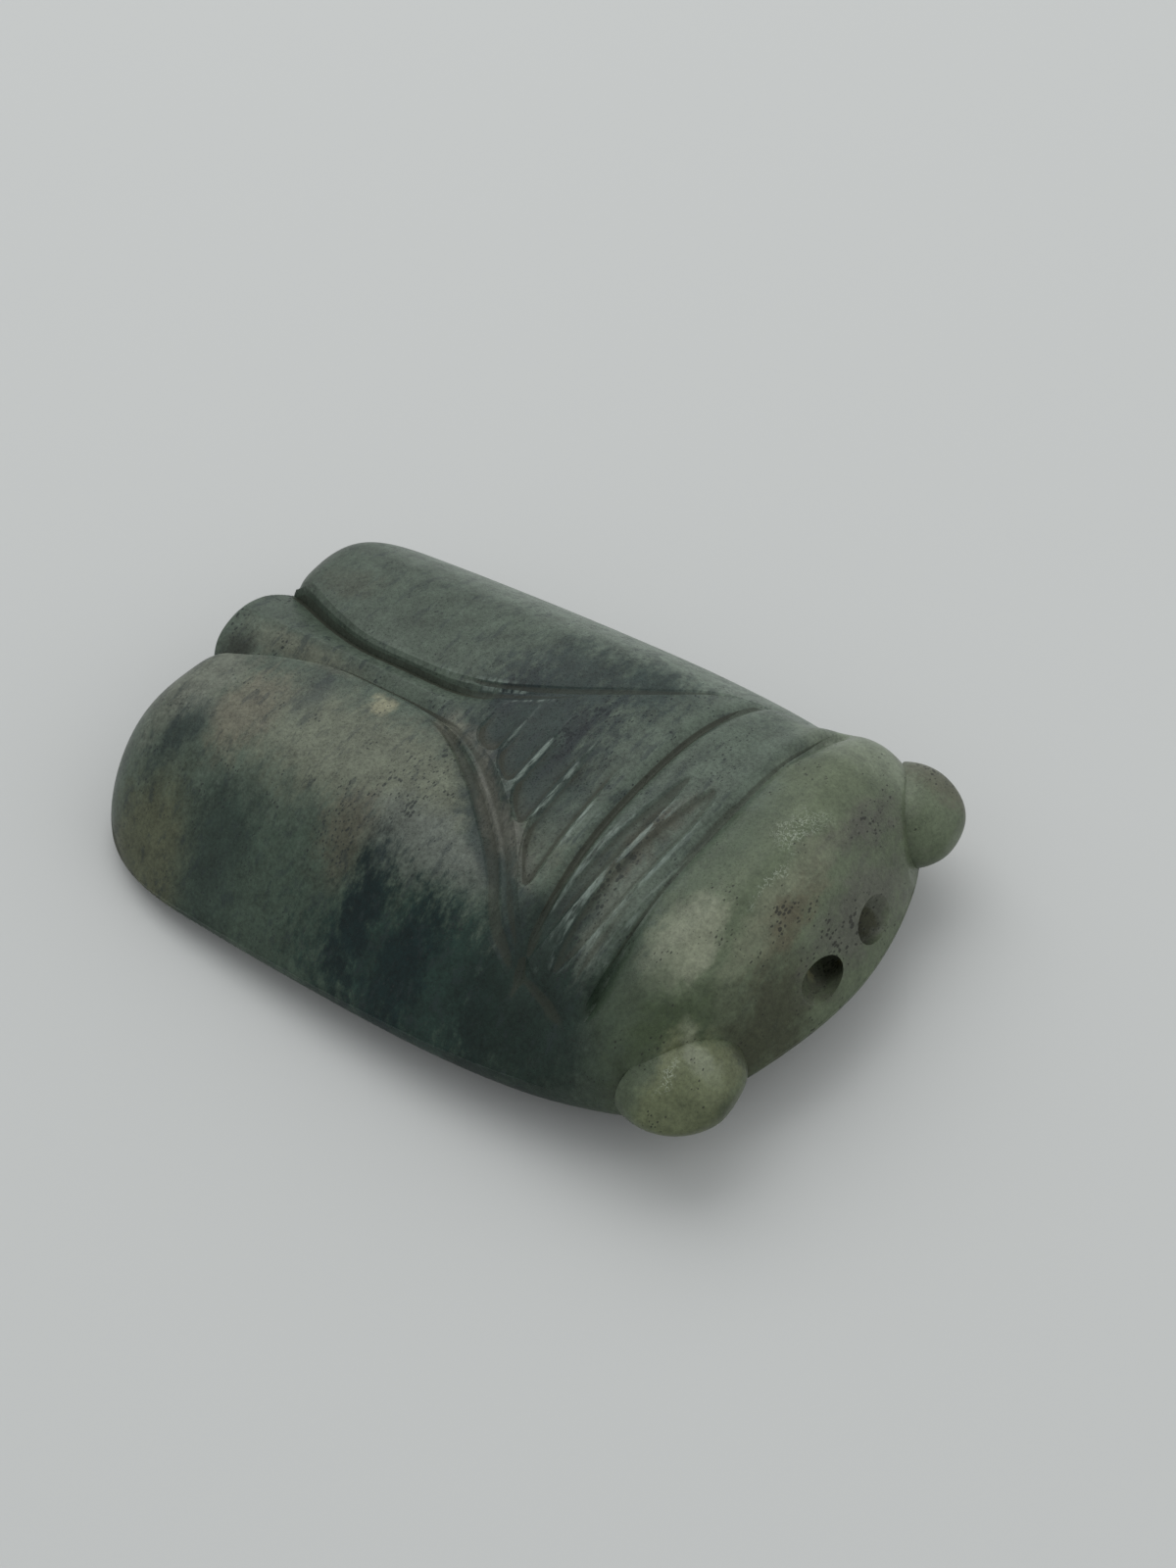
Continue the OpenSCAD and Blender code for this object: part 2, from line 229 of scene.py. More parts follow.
def nose_roll(s, y):
    """The nose: 0 at the front edge, 1 where the top of the head is reached."""
    u = np.clip(1 - (y - nose_edge(s)) / nose_slope, 0, 1)
    return (1 - u ** 1.7) ** 0.8


def tail_roll(x, y):
    """The tail: 0 at the rear edge, 1 a few millimetres before it, or about one in the notches."""
    away, past = np.abs(x) - notch_half, tail_edge(x) - y
    return np.where(away < 0, bend(1 - past / mix(4.8, 1.1, bump(away / 4)), 1.4),
                    bend(1 - past / mix(4.8, 3, bump(away / 2.2)), 2))


def together(a, b):
    """Two falls to nothing met in one rounded corner: an inverse cube root of inverse cubes."""
    return (np.maximum(a, 1e-3) ** -3 + np.maximum(b, 1e-3) ** -3 - 1) ** (-1 / 3)


print(f"the back stands {back_height} mm high")

# %% [markdown]
# ## Carved lines
#
# The wings, the collar and the thorax are drawn by cuts. Each cut is a small profile laid along a
# line: a double scoop with a thread of stone left between, a V, or a broad scooped flute. All the
# profiles are measured square to their line, so they keep their width where the line turns.

# %% Where the lines run
middle = [(-18, 17.1), (-15.1, 15.6), (-12.2, 14.6), (-9.6, 12.2), (-6.6, 8.5), (-3.6, 5.8),
          (-0.6, 3.6), (2.4, 2.2), (5.9, 1.6), (11.4, 1.5), (15.4, 1.6), (19.4, 2.6),
          (23.4, 4.1), (25.8, notch_half)]
border = [(-18, 0.9), (-12, 1.2), (-7.6, 2.2), (-2, 2.3), (1.4, 2.1), (5.4, 1.1), (9, 0.6),
          (18, 0.6), (26, 0.9)]
step_height = 0.8
keel = [(-29.4, 4.9), (-24, 2.2), (-17, 0.25), (-12, 0), (12, 0), (22, 0), (29.4, 0.2)]


def slant(y):
    """How much longer a step across is than the square distance to the middle's edge."""
    lean = (through(middle, y + 0.2) - through(middle, y - 0.2)) / 0.4
    return np.sqrt(1 + lean * lean)


def beside(x, y):
    """Square distance out from the edge of the raised middle."""
    return (np.abs(x) - through(middle, y)) / slant(y)


def fore(y):
    """1 beside the thorax and collar, 0 beside the ridge of the abdomen."""
    return 1 - ease((y - 2.4) / 5)


def hollow(t):
    """One scooped hollow from t = 0 to 1: steep at both rims, round at the bottom."""
    return np.where((t > 0) & (t < 1), np.abs(np.sin(np.pi * np.clip(t, 0, 1))) ** 0.8, 0)


def sink(y):
    """How far the middle sinks below the plain back, from the thorax to the abdomen's ridge."""
    return 1.2 * ease((y + 4) / 9)


def plateau(x, y):
    """Height by which the thorax and collar stand above the plain back, away from the middle."""
    rise = 1 - ease((y + 4) / 9)
    return step_height * (1 - bump(x / 8)) * (1 - ease((np.abs(x) - 13.5) / 4)) * rise


print("stations along the middle:", len(middle))

# %% Wing
wing_swell, edge_drop = 1.05, 0.75


def shield_drop(y):
    """How far the wing's crisp edge lies below the plain back; nothing at the front."""
    return edge_drop * ease((y + 11) / 12)


def shield(x, y, past):
    """The wing itself: it rises steeply from its edge, then swells to its fullest."""
    swell = wing_swell * bump((np.abs(x) - 11.6) / 5) * ease((y + 12.6) / 10)
    return -shield_drop(y) * np.exp(-past / 2.5) + swell * (1 - np.exp(-past / 3))


def fore_border(x, y, t):
    """Beside the thorax, from the wing's edge inwards: a hollow, a fine thread, and a band that
    rises to the raised middle."""
    fading = ease((y + 13) / 4)
    edge = -shield_drop(y)
    outer = edge - 0.26 * fading * hollow(2 * t - 1)
    inner = mix(plateau(x, y) - sink(y), edge, 2 * t) - 0.12 * fading * hollow(2 * t)
    return np.where(t > 0.5, outer, inner) + 0.07 * fading * bump((t - 0.5) / 0.07)


def rear_border(y, t):
    """Beside the abdomen: a narrow bevel, then a wall down to the gutter."""
    fall = sink(y) + roof(y) - shield_drop(y)
    return -shield_drop(y) - fall * np.interp(t, [0, 0.45, 1], [1, 0.25, 0])


def wing_relief(x, y, d):
    """The wing's shield, and its border beside the thorax or beside the abdomen."""
    w = through(border, y)
    t = np.clip(d / w, 0, 1)
    band = mix(rear_border(y, t), fore_border(x, y, t), fore(y))
    return np.where(d > w, shield(x, y, np.maximum(0, d - w)), band)


# %% Ridge of the abdomen


def roof(y):
    """Height of the ridge above the gutters beside it."""
    return mix(0.65, 1.45, ease((y - 13) / 12))


def ridge(x, y):
    """A roof with a crisp top line, falling to a gutter on each side."""
    return -roof(y) * np.minimum(1, np.abs(x) / through(middle, y)) ** 1.05


# %% Thorax and collar
cut_depth, flute_depth = 0.6, 0.45
flutes, first_flute, last_flute = 4, 2.2, -9.2


def long_hollow(p, q, depth):
    """A hollow like half of a long egg: p runs across it from -1 to 1, q is 1 at its end."""
    return -depth * np.sqrt(np.maximum(0, 1 - p * p - np.clip(q, 0, 1) ** 2))


def thorax_flutes(x, y, d):
    """Hollows straight across the thorax: cut deep with round ends on the right half, and only
    faint on the left."""
    t = (first_flute - y + 0.05 * (x + 4)) / (first_flute - last_flute) * flutes
    p = 2 * (t - np.floor(t)) - 1
    deep = flute_depth * (0.15 + 0.85 * ease((2.2 - x) / 4.5))
    return np.where((t < 0) | (t > flutes), 0, long_hollow(p, 1 + d / 1.3, deep))


def collar_flutes(x, y):
    """Long hollows on the collar's right half, a little askew."""
    skew = y + 0.07 * (x + 7)
    q = np.where(x > -6, (x + 6) / 8.5, -(x + 6) / 8.6)
    return (long_hollow((skew + 12.6) / 0.7, q, 0.3) + long_hollow((skew + 14.7) / 1.15, q, 0.42)
            + long_hollow((skew + 16.4) / 0.55, q, 0.2))


def v_cut(t, w):
    """A rounded V as deep as 1 and about w wide on each side."""
    return np.exp(-np.abs(t / w * 1.6) ** 1.5)


def cross_cuts(x, y):
    """The cuts behind the head and behind the collar; the first is deepest towards the sides."""
    ends = ease((17.4 - np.abs(x)) / 3)
    neck = v_cut(y + 17.3 + 0.002 * x * x, 0.9) * (1 + ease((np.abs(x) - 7) / 5))
    waist = v_cut(y + 10.75 + 0.005 * x * x, 0.8)
    return -cut_depth * (neck + waist) * ends


def middle_relief(x, y, d):
    """The raised thorax and collar with their flutes; then the ridge of the abdomen."""
    raised = plateau(x, y) - sink(y)
    return raised + fore(y) * (thorax_flutes(x, y, d) + collar_flutes(x, y)) + (
        1 - fore(y)) * ridge(x, y)


# %% Finished height


def carving(x, y):
    """All the cuts together. The head keeps the plain back, and so does the front of each side."""
    d = beside(x, y)
    sides = np.where(d > 0, wing_relief(x, y, d), middle_relief(x, y, d))
    return sides * ease((y + 18.6) / 1.4) + cross_cuts(x, y)


def top(x, y):
    """Height of the finished stone over the point x, y."""
    s = np.abs(x) / half_width(y)
    nose = nose_roll(np.minimum(s, 1), y)
    plain = (crown(y) - water(y)) * together(section(s, y), nose)
    carved = carving(x, y) * np.minimum(1, 3 * np.maximum(0, 1 - s * s)) * nose
    return np.maximum(water(y) + land, water(y) + (plain + carved) * tail_roll(x, y))


def under(x, y):
    """Depth of the underside: flat, lifting towards the nose and rounded up at its edges."""
    s = np.minimum(1, np.abs(x) / half_width(np.minimum(y, lobe_out_y)))
    front = bend(1 - (y - nose_edge(s)) / 3, 2)
    rear = bend(1 - (tail_edge(x) - y) / 3, 2)
    share = bend((s - 0.3) / 0.7, 2.6) * front * rear
    return np.minimum(water(y) - land, mix(water(y), np.maximum(0, through(keel, y)), share))


print("height over the middle:", float(top(np.array(0.0), np.array(0.0))))

# %% [markdown]
# ## From a grid to a closed piece
#
# A carved skin is a grid of points. To make it a closed piece, its rim is joined by a wall to the
# same rim on the parting level, and one flat face closes the foot. The skin is shaded smoothly, and
# edges sharper than a limit stay crisp, so the carved lines catch the light.

# %% Mesh tools


def placed(name, data):
    """A new object in the scene."""
    thing = bpy.data.objects.new(name, data)
    bpy.context.scene.collection.objects.link(thing)
    return thing


CRISP = np.radians(50)
eye_centre, eye_size = np.array([14.33, -24.05, 6.55]), np.array([4.25, 4.6, 2.75])
seat_turn, seat_lean, seat_out = np.radians(-62.5), np.radians(20.5), 0.69
seat_normal = np.array([np.cos(seat_lean) * np.cos(seat_turn),
                        np.cos(seat_lean) * np.sin(seat_turn), np.sin(seat_lean)])


def make_piece(name, points, faces, nodes):
    mesh = bpy.data.meshes.new(name)
    mesh.from_pydata(points * MM, [], faces)
    mesh.validate()
    mesh.shade_smooth()
    mesh.set_sharp_from_angle(angle=CRISP)
    piece = placed(name, mesh)
    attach(piece, "root")
    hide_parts(*nodes)
    print(f"{name}: {len(mesh.vertices)} points, {len(mesh.polygons)} faces")
    return piece


def pressed(points, fall):
    """Points of the head's corners moved level, or down a plane that falls by fall a millimetre of
    y, back to the flats that the eyes sit on."""
    side = np.where(points[:, 0] < 0, -1, 1)[:, None] * [1, 0, 0] + [0, 1, 1]
    step = np.array([np.cos(seat_turn), np.sin(seat_turn), -fall * np.sin(seat_turn)])
    past = np.maximum(0, (points * side - eye_centre) @ seat_normal - seat_out)
    return points - (past / (step @ seat_normal))[:, None] * step * side


def closed_faces(m, n, turned):
    """Faces of an m by n skin, of the wall under its rim, and of its foot."""
    a = (np.arange(m - 1)[:, None] * n + np.arange(n - 1)).ravel()
    skin = np.stack([a, a + n, a + n + 1, a + 1], 1)
    rim = np.concatenate([np.arange(n), np.arange(1, m) * n + n - 1,
                          (m - 1) * n + np.arange(n - 2, -1, -1), np.arange(m - 2, 0, -1) * n])
    foot = m * n + np.arange(len(rim))
    wall = np.stack([foot, rim, np.roll(rim, -1), np.roll(foot, -1)], 1)
    if turned:
        foot = foot[::-1]
    else:
        skin, wall = skin[:, ::-1], wall[:, ::-1]
    return skin.tolist() + wall.tolist() + [foot.tolist()], rim


def carved_piece(name, x, y, slot, nodes, height=top, turned=False):
    """Closed piece over a grid of plan points: skin at the given height, foot on the parting level.
    x grows along a row and y from row to row; turned swaps the sides for a skin that faces down."""
    m, n = x.shape
    skin = np.stack([x, y, height(x, y)], 2).reshape(-1, 3)
    faces, rim = closed_faces(m, n, turned)
    foot = np.stack([x.ravel()[rim], y.ravel()[rim], water(y.ravel()[rim])], 1)
    points = np.concatenate([pressed(skin, 0), pressed(foot, water_fall)])
    return make_piece(name, points, faces, nodes)


print("mesh tools ready")

# %% [markdown]
# ## The wings
#
# On the stone each folded wing is one long smooth shield with a carved border. The grid's columns
# follow the border, close together across it, so that the double scoop is drawn cleanly. Behind the
# notch the columns run from one side of the lobe to the other.

# %% Carve the wings
ROW, FINE_ROW = 0.12, 0.08  # distance between rows of points, in millimetres
BORDER_COLUMNS, SHIELD_COLUMNS, LOBE_ROWS = 40, 110, 40


def rows(a, b, step=ROW):
    """Even rows from a to b."""
    return np.linspace(a, b, int(round((b - a) / step)) + 1)


def wing_plan():
    """Plan points of the left wing: across the border first, then over the shield to the side."""
    tail = mix(notch_y, lobe_end_y - 0.02, np.sin(np.linspace(0, np.pi / 2, LOBE_ROWS))[1:])
    y = np.concatenate([rows(neck_y, notch_y), tail])[:, None]
    inner = np.where(y > notch_y, lobe_inner(y), through(middle, y))
    outer = lobe_outer(y)
    band = np.where(y > notch_y, 0.9, through(border, y) * slant(y)) * 1.15
    band = np.minimum(band, 0.4 * (outer - inner))
    across = np.linspace(0, 1, BORDER_COLUMNS)
    beyond = both_ends(SHIELD_COLUMNS)[1:]
    x = np.hstack([inner + band * across, mix(inner + band, outer, beyond)])
    return x, np.broadcast_to(y, x.shape)


x, y = wing_plan()
left_wing = carved_piece("carved_left_wing", x, y, "green_jade", ["left_wing"])
right_wing = carved_piece("carved_right_wing", -x[:, ::-1], y[:, ::-1], "green_jade",
                          ["right_wing"])

# %% [markdown]
# ## Thorax, collar and abdomen
#
# The raised middle is one strip that narrows from the neck to the abdomen. Its grid runs straight
# across, because the flutes do. The abdomen ends in a tip that narrows to nothing past the notches.

# %% Carve the middle
FLUTE_COLUMNS, RIDGE_COLUMNS, TIP_ROWS = 300, 90, 50


def strip(y, columns):
    """Plan points across the raised middle."""
    x = np.linspace(-1, 1, columns) * through(middle, y[:, None])
    return x, np.broadcast_to(y[:, None], x.shape)


collar = carved_piece("carved_collar", *strip(rows(neck_y, waist_y, FINE_ROW), FLUTE_COLUMNS),
                      "green_jade", ["collar"])
thorax = carved_piece("carved_thorax", *strip(rows(waist_y, apex_y, FINE_ROW), FLUTE_COLUMNS),
                      "dark_jade", ["thorax"])
tail = mix(notch_y, tip_y - 0.03, np.sin(np.linspace(0, np.pi / 2, TIP_ROWS))[1:])
x, y = strip(rows(apex_y, notch_y), RIDGE_COLUMNS)
tip_x = np.linspace(-1, 1, RIDGE_COLUMNS) * tip_half(tail)[:, None]
x = np.vstack([x, tip_x])
y = np.vstack([y, np.broadcast_to(tail[:, None], tip_x.shape)])
abdomen = carved_piece("carved_abdomen", x, y, "dark_jade", ["abdomen"])

# %% [markdown]
# ## Head and belly
#
# The head is a rounded wedge. Its grid fans out from the nose, with rows packed towards the front
# edge, where the surface turns down steeply. The cord holes are drilled afterwards, as they are on
# the real carving, with a cutter that flares at its mouth.

# %% Carve the head
HEAD_COLUMNS, HEAD_ROWS = 340, 150
s = np.cos(np.linspace(np.pi, 0, HEAD_COLUMNS))
y = mix(nose_edge(np.abs(s)), neck_y, np.linspace(0, 1, HEAD_ROWS)[:, None] ** 1.6)
x = s * half_width(y)
head = carved_piece("carved_head", x, y, "pale_jade", ["head"])

# %% Drill the cord holes
HOLE_RADIUS, HOLE_SIDES = 1.2, 72
HOLE_MOUTH, HOLES_MEET = (2.85, -28.0, 8.2), (0, -26.0, 6.9)
START = 3.0  # how far outside the mouth the cutter starts


def lathe(stations, start, end, sides):
    """Closed tube round the line from start to end, through stations (distance, radius)."""
    start, end = np.array(start, float), np.array(end, float)
    axis = (end - start) / np.linalg.norm(end - start)
    side = np.cross(axis, [0, 0, 1])
    side /= np.linalg.norm(side)
    lift = np.cross(side, axis)
    at, radius = np.array(stations, float).T
    a = np.linspace(0, 2 * np.pi, sides, endpoint=False)
    ring = np.cos(a)[:, None] * side + np.sin(a)[:, None] * lift
    points = start + at[:, None, None] * axis + radius[:, None, None] * ring
    k = np.arange(len(at) - 1)[:, None] * sides
    b, c = np.arange(sides), (np.arange(sides) + 1) % sides
    quads = np.stack([k + b, k + b + sides, k + c + sides, k + c], 2).reshape(-1, 4)
    ends = [np.arange(sides).tolist(), ((len(at) - 1) * sides + np.arange(sides))[::-1].tolist()]
    return points.reshape(-1, 3), quads.tolist() + ends


def drill(piece, side):
    """Cuts one hole: from outside the nose, flared over its first part, to where the two meet."""
    mouth, meet = np.array([side, 1, 1]) * HOLE_MOUTH, np.array(HOLES_MEET)
    reach = np.linalg.norm(mouth - meet)
    out = (mouth - meet) / reach
    points, faces = lathe([(0, 2.0), (1.6, 1.72), (2.6, 1.48), (3.4, 1.3), (4.2, HOLE_RADIUS),
                           (START + 0.5 + reach, HOLE_RADIUS)], mouth + START * out, meet,
                          HOLE_SIDES)
    mesh = bpy.data.meshes.new("cutter")
    mesh.from_pydata(points * MM, [], faces)
    cutter = placed("cutter", mesh)
    cut = piece.modifiers.new("hole", "BOOLEAN")
    cut.operation, cut.object, cut.solver = "DIFFERENCE", cutter, "EXACT"
    bpy.context.view_layer.update()
    carved = bpy.data.meshes.new_from_object(
        piece.evaluated_get(bpy.context.evaluated_depsgraph_get()))
    piece.modifiers.clear()
    piece.data = carved
    bpy.data.objects.remove(cutter)


for side in (-1, 1):
    drill(head, side)
head.data.set_sharp_from_angle(angle=CRISP)
print("head with holes:", len(head.data.polygons), "faces")

# %% Carve the underside
BELLY_COLUMNS, BELLY_ROWS = 220, 240
s = -np.cos(np.linspace(0, np.pi, BELLY_COLUMNS))
front, rear = nose_edge(np.abs(s)), tail_edge(s * (lobe_x + lobe_out))
y = mix(front, rear, both_ends(BELLY_ROWS)[:, None])
x = s * half_width(np.minimum(y, lobe_out_y))
belly = carved_piece("carved_belly", x, y, "green_jade", ["belly"], height=under, turned=True)

# %% [markdown]
# ## The eyes
#
# Each eye is a flattened ball that stands out from the corner of the head, cut off by a sloping
# seat inside it. Its rings run from the seat to the pole opposite. A few flats left by the carver's
# wheel are planes that the ball is shaved back to, with their meeting edges rounded off.

# %% Carve the eyes
EYE_RINGS, EYE_SIDES = 90, 180
EYE_ROOT = 0.6  # how far the ball runs on into the head, behind its seat
EDGE_POWER = 34  # higher for crisper edges between the flats
SEAT_FADE = 0.2  # share of the ball above its seat over which the flats come in
# Flats on each eye: their direction (out, sideways, up) and their share of the ball's radius
left_flats = [((0.75, 0.1, 0.72), 0.95), ((1.0, -0.5, 0.1), 0.96), ((0.8, 0.75, 0.1), 0.97)]
right_flats = [((0.78, 0.5, 0.38), 0.89), ((0.75, -0.25, 0.75), 0.92), ((0.1, 0.6, 0.85), 0.96),
               ((0.9, -0.65, -0.1), 0.95)]


def shaved(ball, flats):
    """Radius in each direction of a ball of radius 1 cut by planes, the least of them all taken
    softly, as a root of the sum of high powers of their inverses."""
    hold = np.ones(len(ball))
    for direction, distance in flats:
        n = np.array(direction) / np.linalg.norm(direction)
        hold = hold + np.maximum(ball @ n / distance, 0) ** EDGE_POWER
    return hold ** (-1 / EDGE_POWER)


def eye_points(flats):
    """Rings round the seat's axis on the ball of radius 1, which is then stretched to size."""
    normal = np.array([eye_size[0] * np.cos(seat_lean), eye_size[2] * np.sin(seat_lean)])
    lean = np.arctan2(*normal)
    start = np.arcsin((seat_out - EYE_ROOT) / np.linalg.norm(normal))
    b = np.linspace(start, np.pi / 2, EYE_RINGS)[:-1, None]
    a = np.linspace(0, 2 * np.pi, EYE_SIDES, endpoint=False)
    ring = np.stack([np.cos(b) * np.cos(a), np.cos(b) * np.sin(a),
                     np.sin(b) * np.ones_like(a)], 2).reshape(-1, 3)
    ball = np.vstack([ring, [[0, 0, 1], [0, 0, np.sin(start)]]])
    tilt = np.array([[np.cos(lean), 0, np.sin(lean)], [0, 1, 0], [-np.sin(lean), 0, np.cos(lean)]])
    ball = ball @ tilt.T
    past = np.clip((ball @ tilt[:, 2] - np.sin(start)) / SEAT_FADE, 0, 1)[:, None]
    ball = ball * mix(1, shaved(ball, flats)[:, None], past)
    turn = np.array([[np.cos(seat_turn), -np.sin(seat_turn), 0],
                     [np.sin(seat_turn), np.cos(seat_turn), 0], [0, 0, 1]])
    return ball * eye_size @ turn.T + eye_centre


def eye_faces(turned):
    """Quads between the rings, and a fan of triangles at the pole and over the seat; turned is for
    the eye that is mirrored."""
    b = np.arange(EYE_SIDES)
    c = (b + 1) % EYE_SIDES
    k = np.arange(EYE_RINGS - 2)[:, None] * EYE_SIDES
    quads = np.stack([k + b, k + c, k + c + EYE_SIDES, k + b + EYE_SIDES], 2).reshape(-1, 4)
    last, pole = (EYE_RINGS - 2) * EYE_SIDES, (EYE_RINGS - 1) * EYE_SIDES
    fans = np.vstack([np.stack([last + b, last + c, np.full_like(b, pole)], 1),
                      np.stack([c, b, np.full_like(b, pole + 1)], 1)])
    faces = quads.tolist() + fans.tolist()
    return [face[::-1] for face in faces] if turned else faces


left_eye = make_piece("carved_left_eye", eye_points(left_flats), eye_faces(False),
                      ["left_eye"])
right_eye = make_piece("carved_right_eye", eye_points(right_flats) * [-1, 1, 1],
                       eye_faces(True), ["right_eye"])

# %% [markdown]
# ## Jade: where a colour sits in the stone
#
# Nephrite is a tough, fibrous stone, and its colour wanders from pale celadon through grey-green to
# clouds that are almost black. All the pieces are one stone, so a cloud has to run on from one
# piece into the next. That is why every pattern here is solid: it reads the Object coordinates, in
# millimetres, and the same node groups serve all three finishes.

# %% Node helpers


def new_group(name, takes, gives):
    """A shader node group with named inputs and outputs, and its two end nodes."""
    tree = bpy.data.node_groups.new(name, "ShaderNodeTree")
    for side, sockets in (("INPUT", takes), ("OUTPUT", gives)):
        for socket, kind in sockets.items():
            tree.interface.new_socket(name=socket, in_out=side, socket_type="NodeSocket" + kind)
    return tree, tree.nodes.new("NodeGroupInput").outputs, tree.nodes.new("NodeGroupOutput").inputs


def put(tree, kind, feeds, **settings):
    """Adds a node: feeds gives each input a socket to link or a plain value."""
    node = tree.nodes.new("ShaderNode" + kind)
    for key, value in settings.items():
        setattr(node, key, value)
    for key, value in feeds.items():
        if isinstance(value, bpy.types.NodeSocket):
            tree.links.new(value, node.inputs[key])
        else:
            node.inputs[key].default_value = value
    return node


def place_group(tree, group, feeds):
    """Adds a node that uses a group."""
    return put(tree, "Group", feeds, node_tree=group).outputs


def blend(tree, share, a, b):
    """Mixes two colours: a where share is 0, b where it is 1."""
    return put(tree, "Mix", {0: share, 6: a, 7: b}, data_type="RGBA").outputs[2]


def sums(tree, how, a, b, c=0.5):
    """Arithmetic on values; only MULTIPLY_ADD takes c, as a times b plus c."""
    return put(tree, "Math", {0: a, 1: b, 2: c}, operation=how).outputs[0]


def ramp(tree, value, a, b):
    """Smooth step from 0 where the value is a to 1 where it is b."""
    return put(tree, "MapRange", {"Value": value, "From Min": a, "From Max": b},
               interpolation_type="SMOOTHSTEP").outputs[0]


def scaled(tree, vector, factor):
    """A vector or colour times a number."""
    return put(tree, "VectorMath", {0: vector, 3: factor}, operation="SCALE").outputs[0]


def vectors(tree, how, a, b):
    """Arithmetic on vectors."""
    return put(tree, "VectorMath", {0: a, 1: b}, operation=how).outputs[0]


def stretched(tree, place, scale, turn=0.0):
    """A place turned about Z, in radians, and stretched."""
    return put(tree, "Mapping", {"Vector": place, "Rotation": (0, 0, turn),
                                 "Scale": scale}).outputs[0]


def noise(tree, place, scale, detail=3.0, roughness=0.55):
    """Noise with about scale lumps to a millimetre."""
    return put(tree, "TexNoise", {"Vector": place, "Scale": scale, "Detail": detail,
                                  "Roughness": roughness}).outputs


# %% Place in the stone
stone_place, _, gives = new_group("stone_place", {}, {"Place": "Vector", "Wandering": "Vector",
                                                      "Wisps": "Float"})
at_metres = put(stone_place, "TexCoord", {}).outputs["Object"]
place = scaled(stone_place, at_metres, 1 / MM)
wandering = place
for scale, reach in ((0.22, 3.2), (0.9, 1.3)):
    push = vectors(stone_place, "SUBTRACT", noise(stone_place, place, scale)["Color"],
                   (0.5, 0.5, 0.5))
    wandering = vectors(stone_place, "ADD", wandering, scaled(stone_place, push, reach))
stone_place.links.new(place, gives["Place"])
stone_place.links.new(wandering, gives["Wandering"])
along = stretched(stone_place, place, (0.6, 1.5, 1.0), -0.3)
stone_place.links.new(noise(stone_place, along, 1.1, 7.0, 0.7)["Fac"], gives["Wisps"])
print("stone_place ready")

# %% One cloud
jade_cloud, takes, gives = new_group(
    "jade_cloud", {"Wandering": "Vector", "Wisps": "Float", "Centre": "Vector", "Size": "Vector",
                   "Turn": "Float", "Edge": "Float", "Ragged": "Float"}, {"Mask": "Float"})
offset = vectors(jade_cloud, "SUBTRACT", takes["Wandering"], takes["Centre"])
turned = put(jade_cloud, "VectorRotate", {"Vector": offset, "Center": (0, 0, 0),
                                          "Angle": takes["Turn"]},
             rotation_type="Z_AXIS").outputs[0]
shrunk = vectors(jade_cloud, "DIVIDE", turned, takes["Size"])
away = put(jade_cloud, "VectorMath", {0: shrunk}, operation="LENGTH").outputs["Value"]
away = sums(jade_cloud, "MULTIPLY_ADD", sums(jade_cloud, "SUBTRACT", takes["Wisps"], 0.5),
            takes["Ragged"], away)
jade_cloud.links.new(ramp(jade_cloud, away, sums(jade_cloud, "ADD", 1.0, takes["Edge"]),
                          sums(jade_cloud, "SUBTRACT", 1.0, takes["Edge"])), gives["Mask"])
CLOUD_LEVEL, CLOUD_RISE = 7, 30  # a cloud's middle and half height: it runs right through


def cloud(tree, takes, centre, size, edge, ragged, turn=0):
    """Mask of one cloud, from its centre, half sizes and turn in degrees seen from above."""
    if len(centre) == 2:
        centre, size = (*centre, CLOUD_LEVEL), (*size, CLOUD_RISE)
    return place_group(tree, jade_cloud, {
        "Wandering": takes["Wandering"], "Wisps": takes["Wisps"], "Centre": centre,
        "Size": size, "Turn": np.radians(-turn), "Edge": edge, "Ragged": ragged})["Mask"]


print("jade_cloud ready")

# %% [markdown]
# ## Jade: the clouds
#
# Each cloud is a soft, ragged ellipsoid with a colour, given by its centre, half sizes and turn in
# the plan. They are laid on a green ground in order, mostly wide ones first, as a painter would.
# Not all of them are the stone's colour: the clouds named shade are painted shade, and comments
# below mark the other painted shade and painted highlights.

# %% Colour of the stone, with painted light and shade
ground = (0.060, 0.080, 0.060)
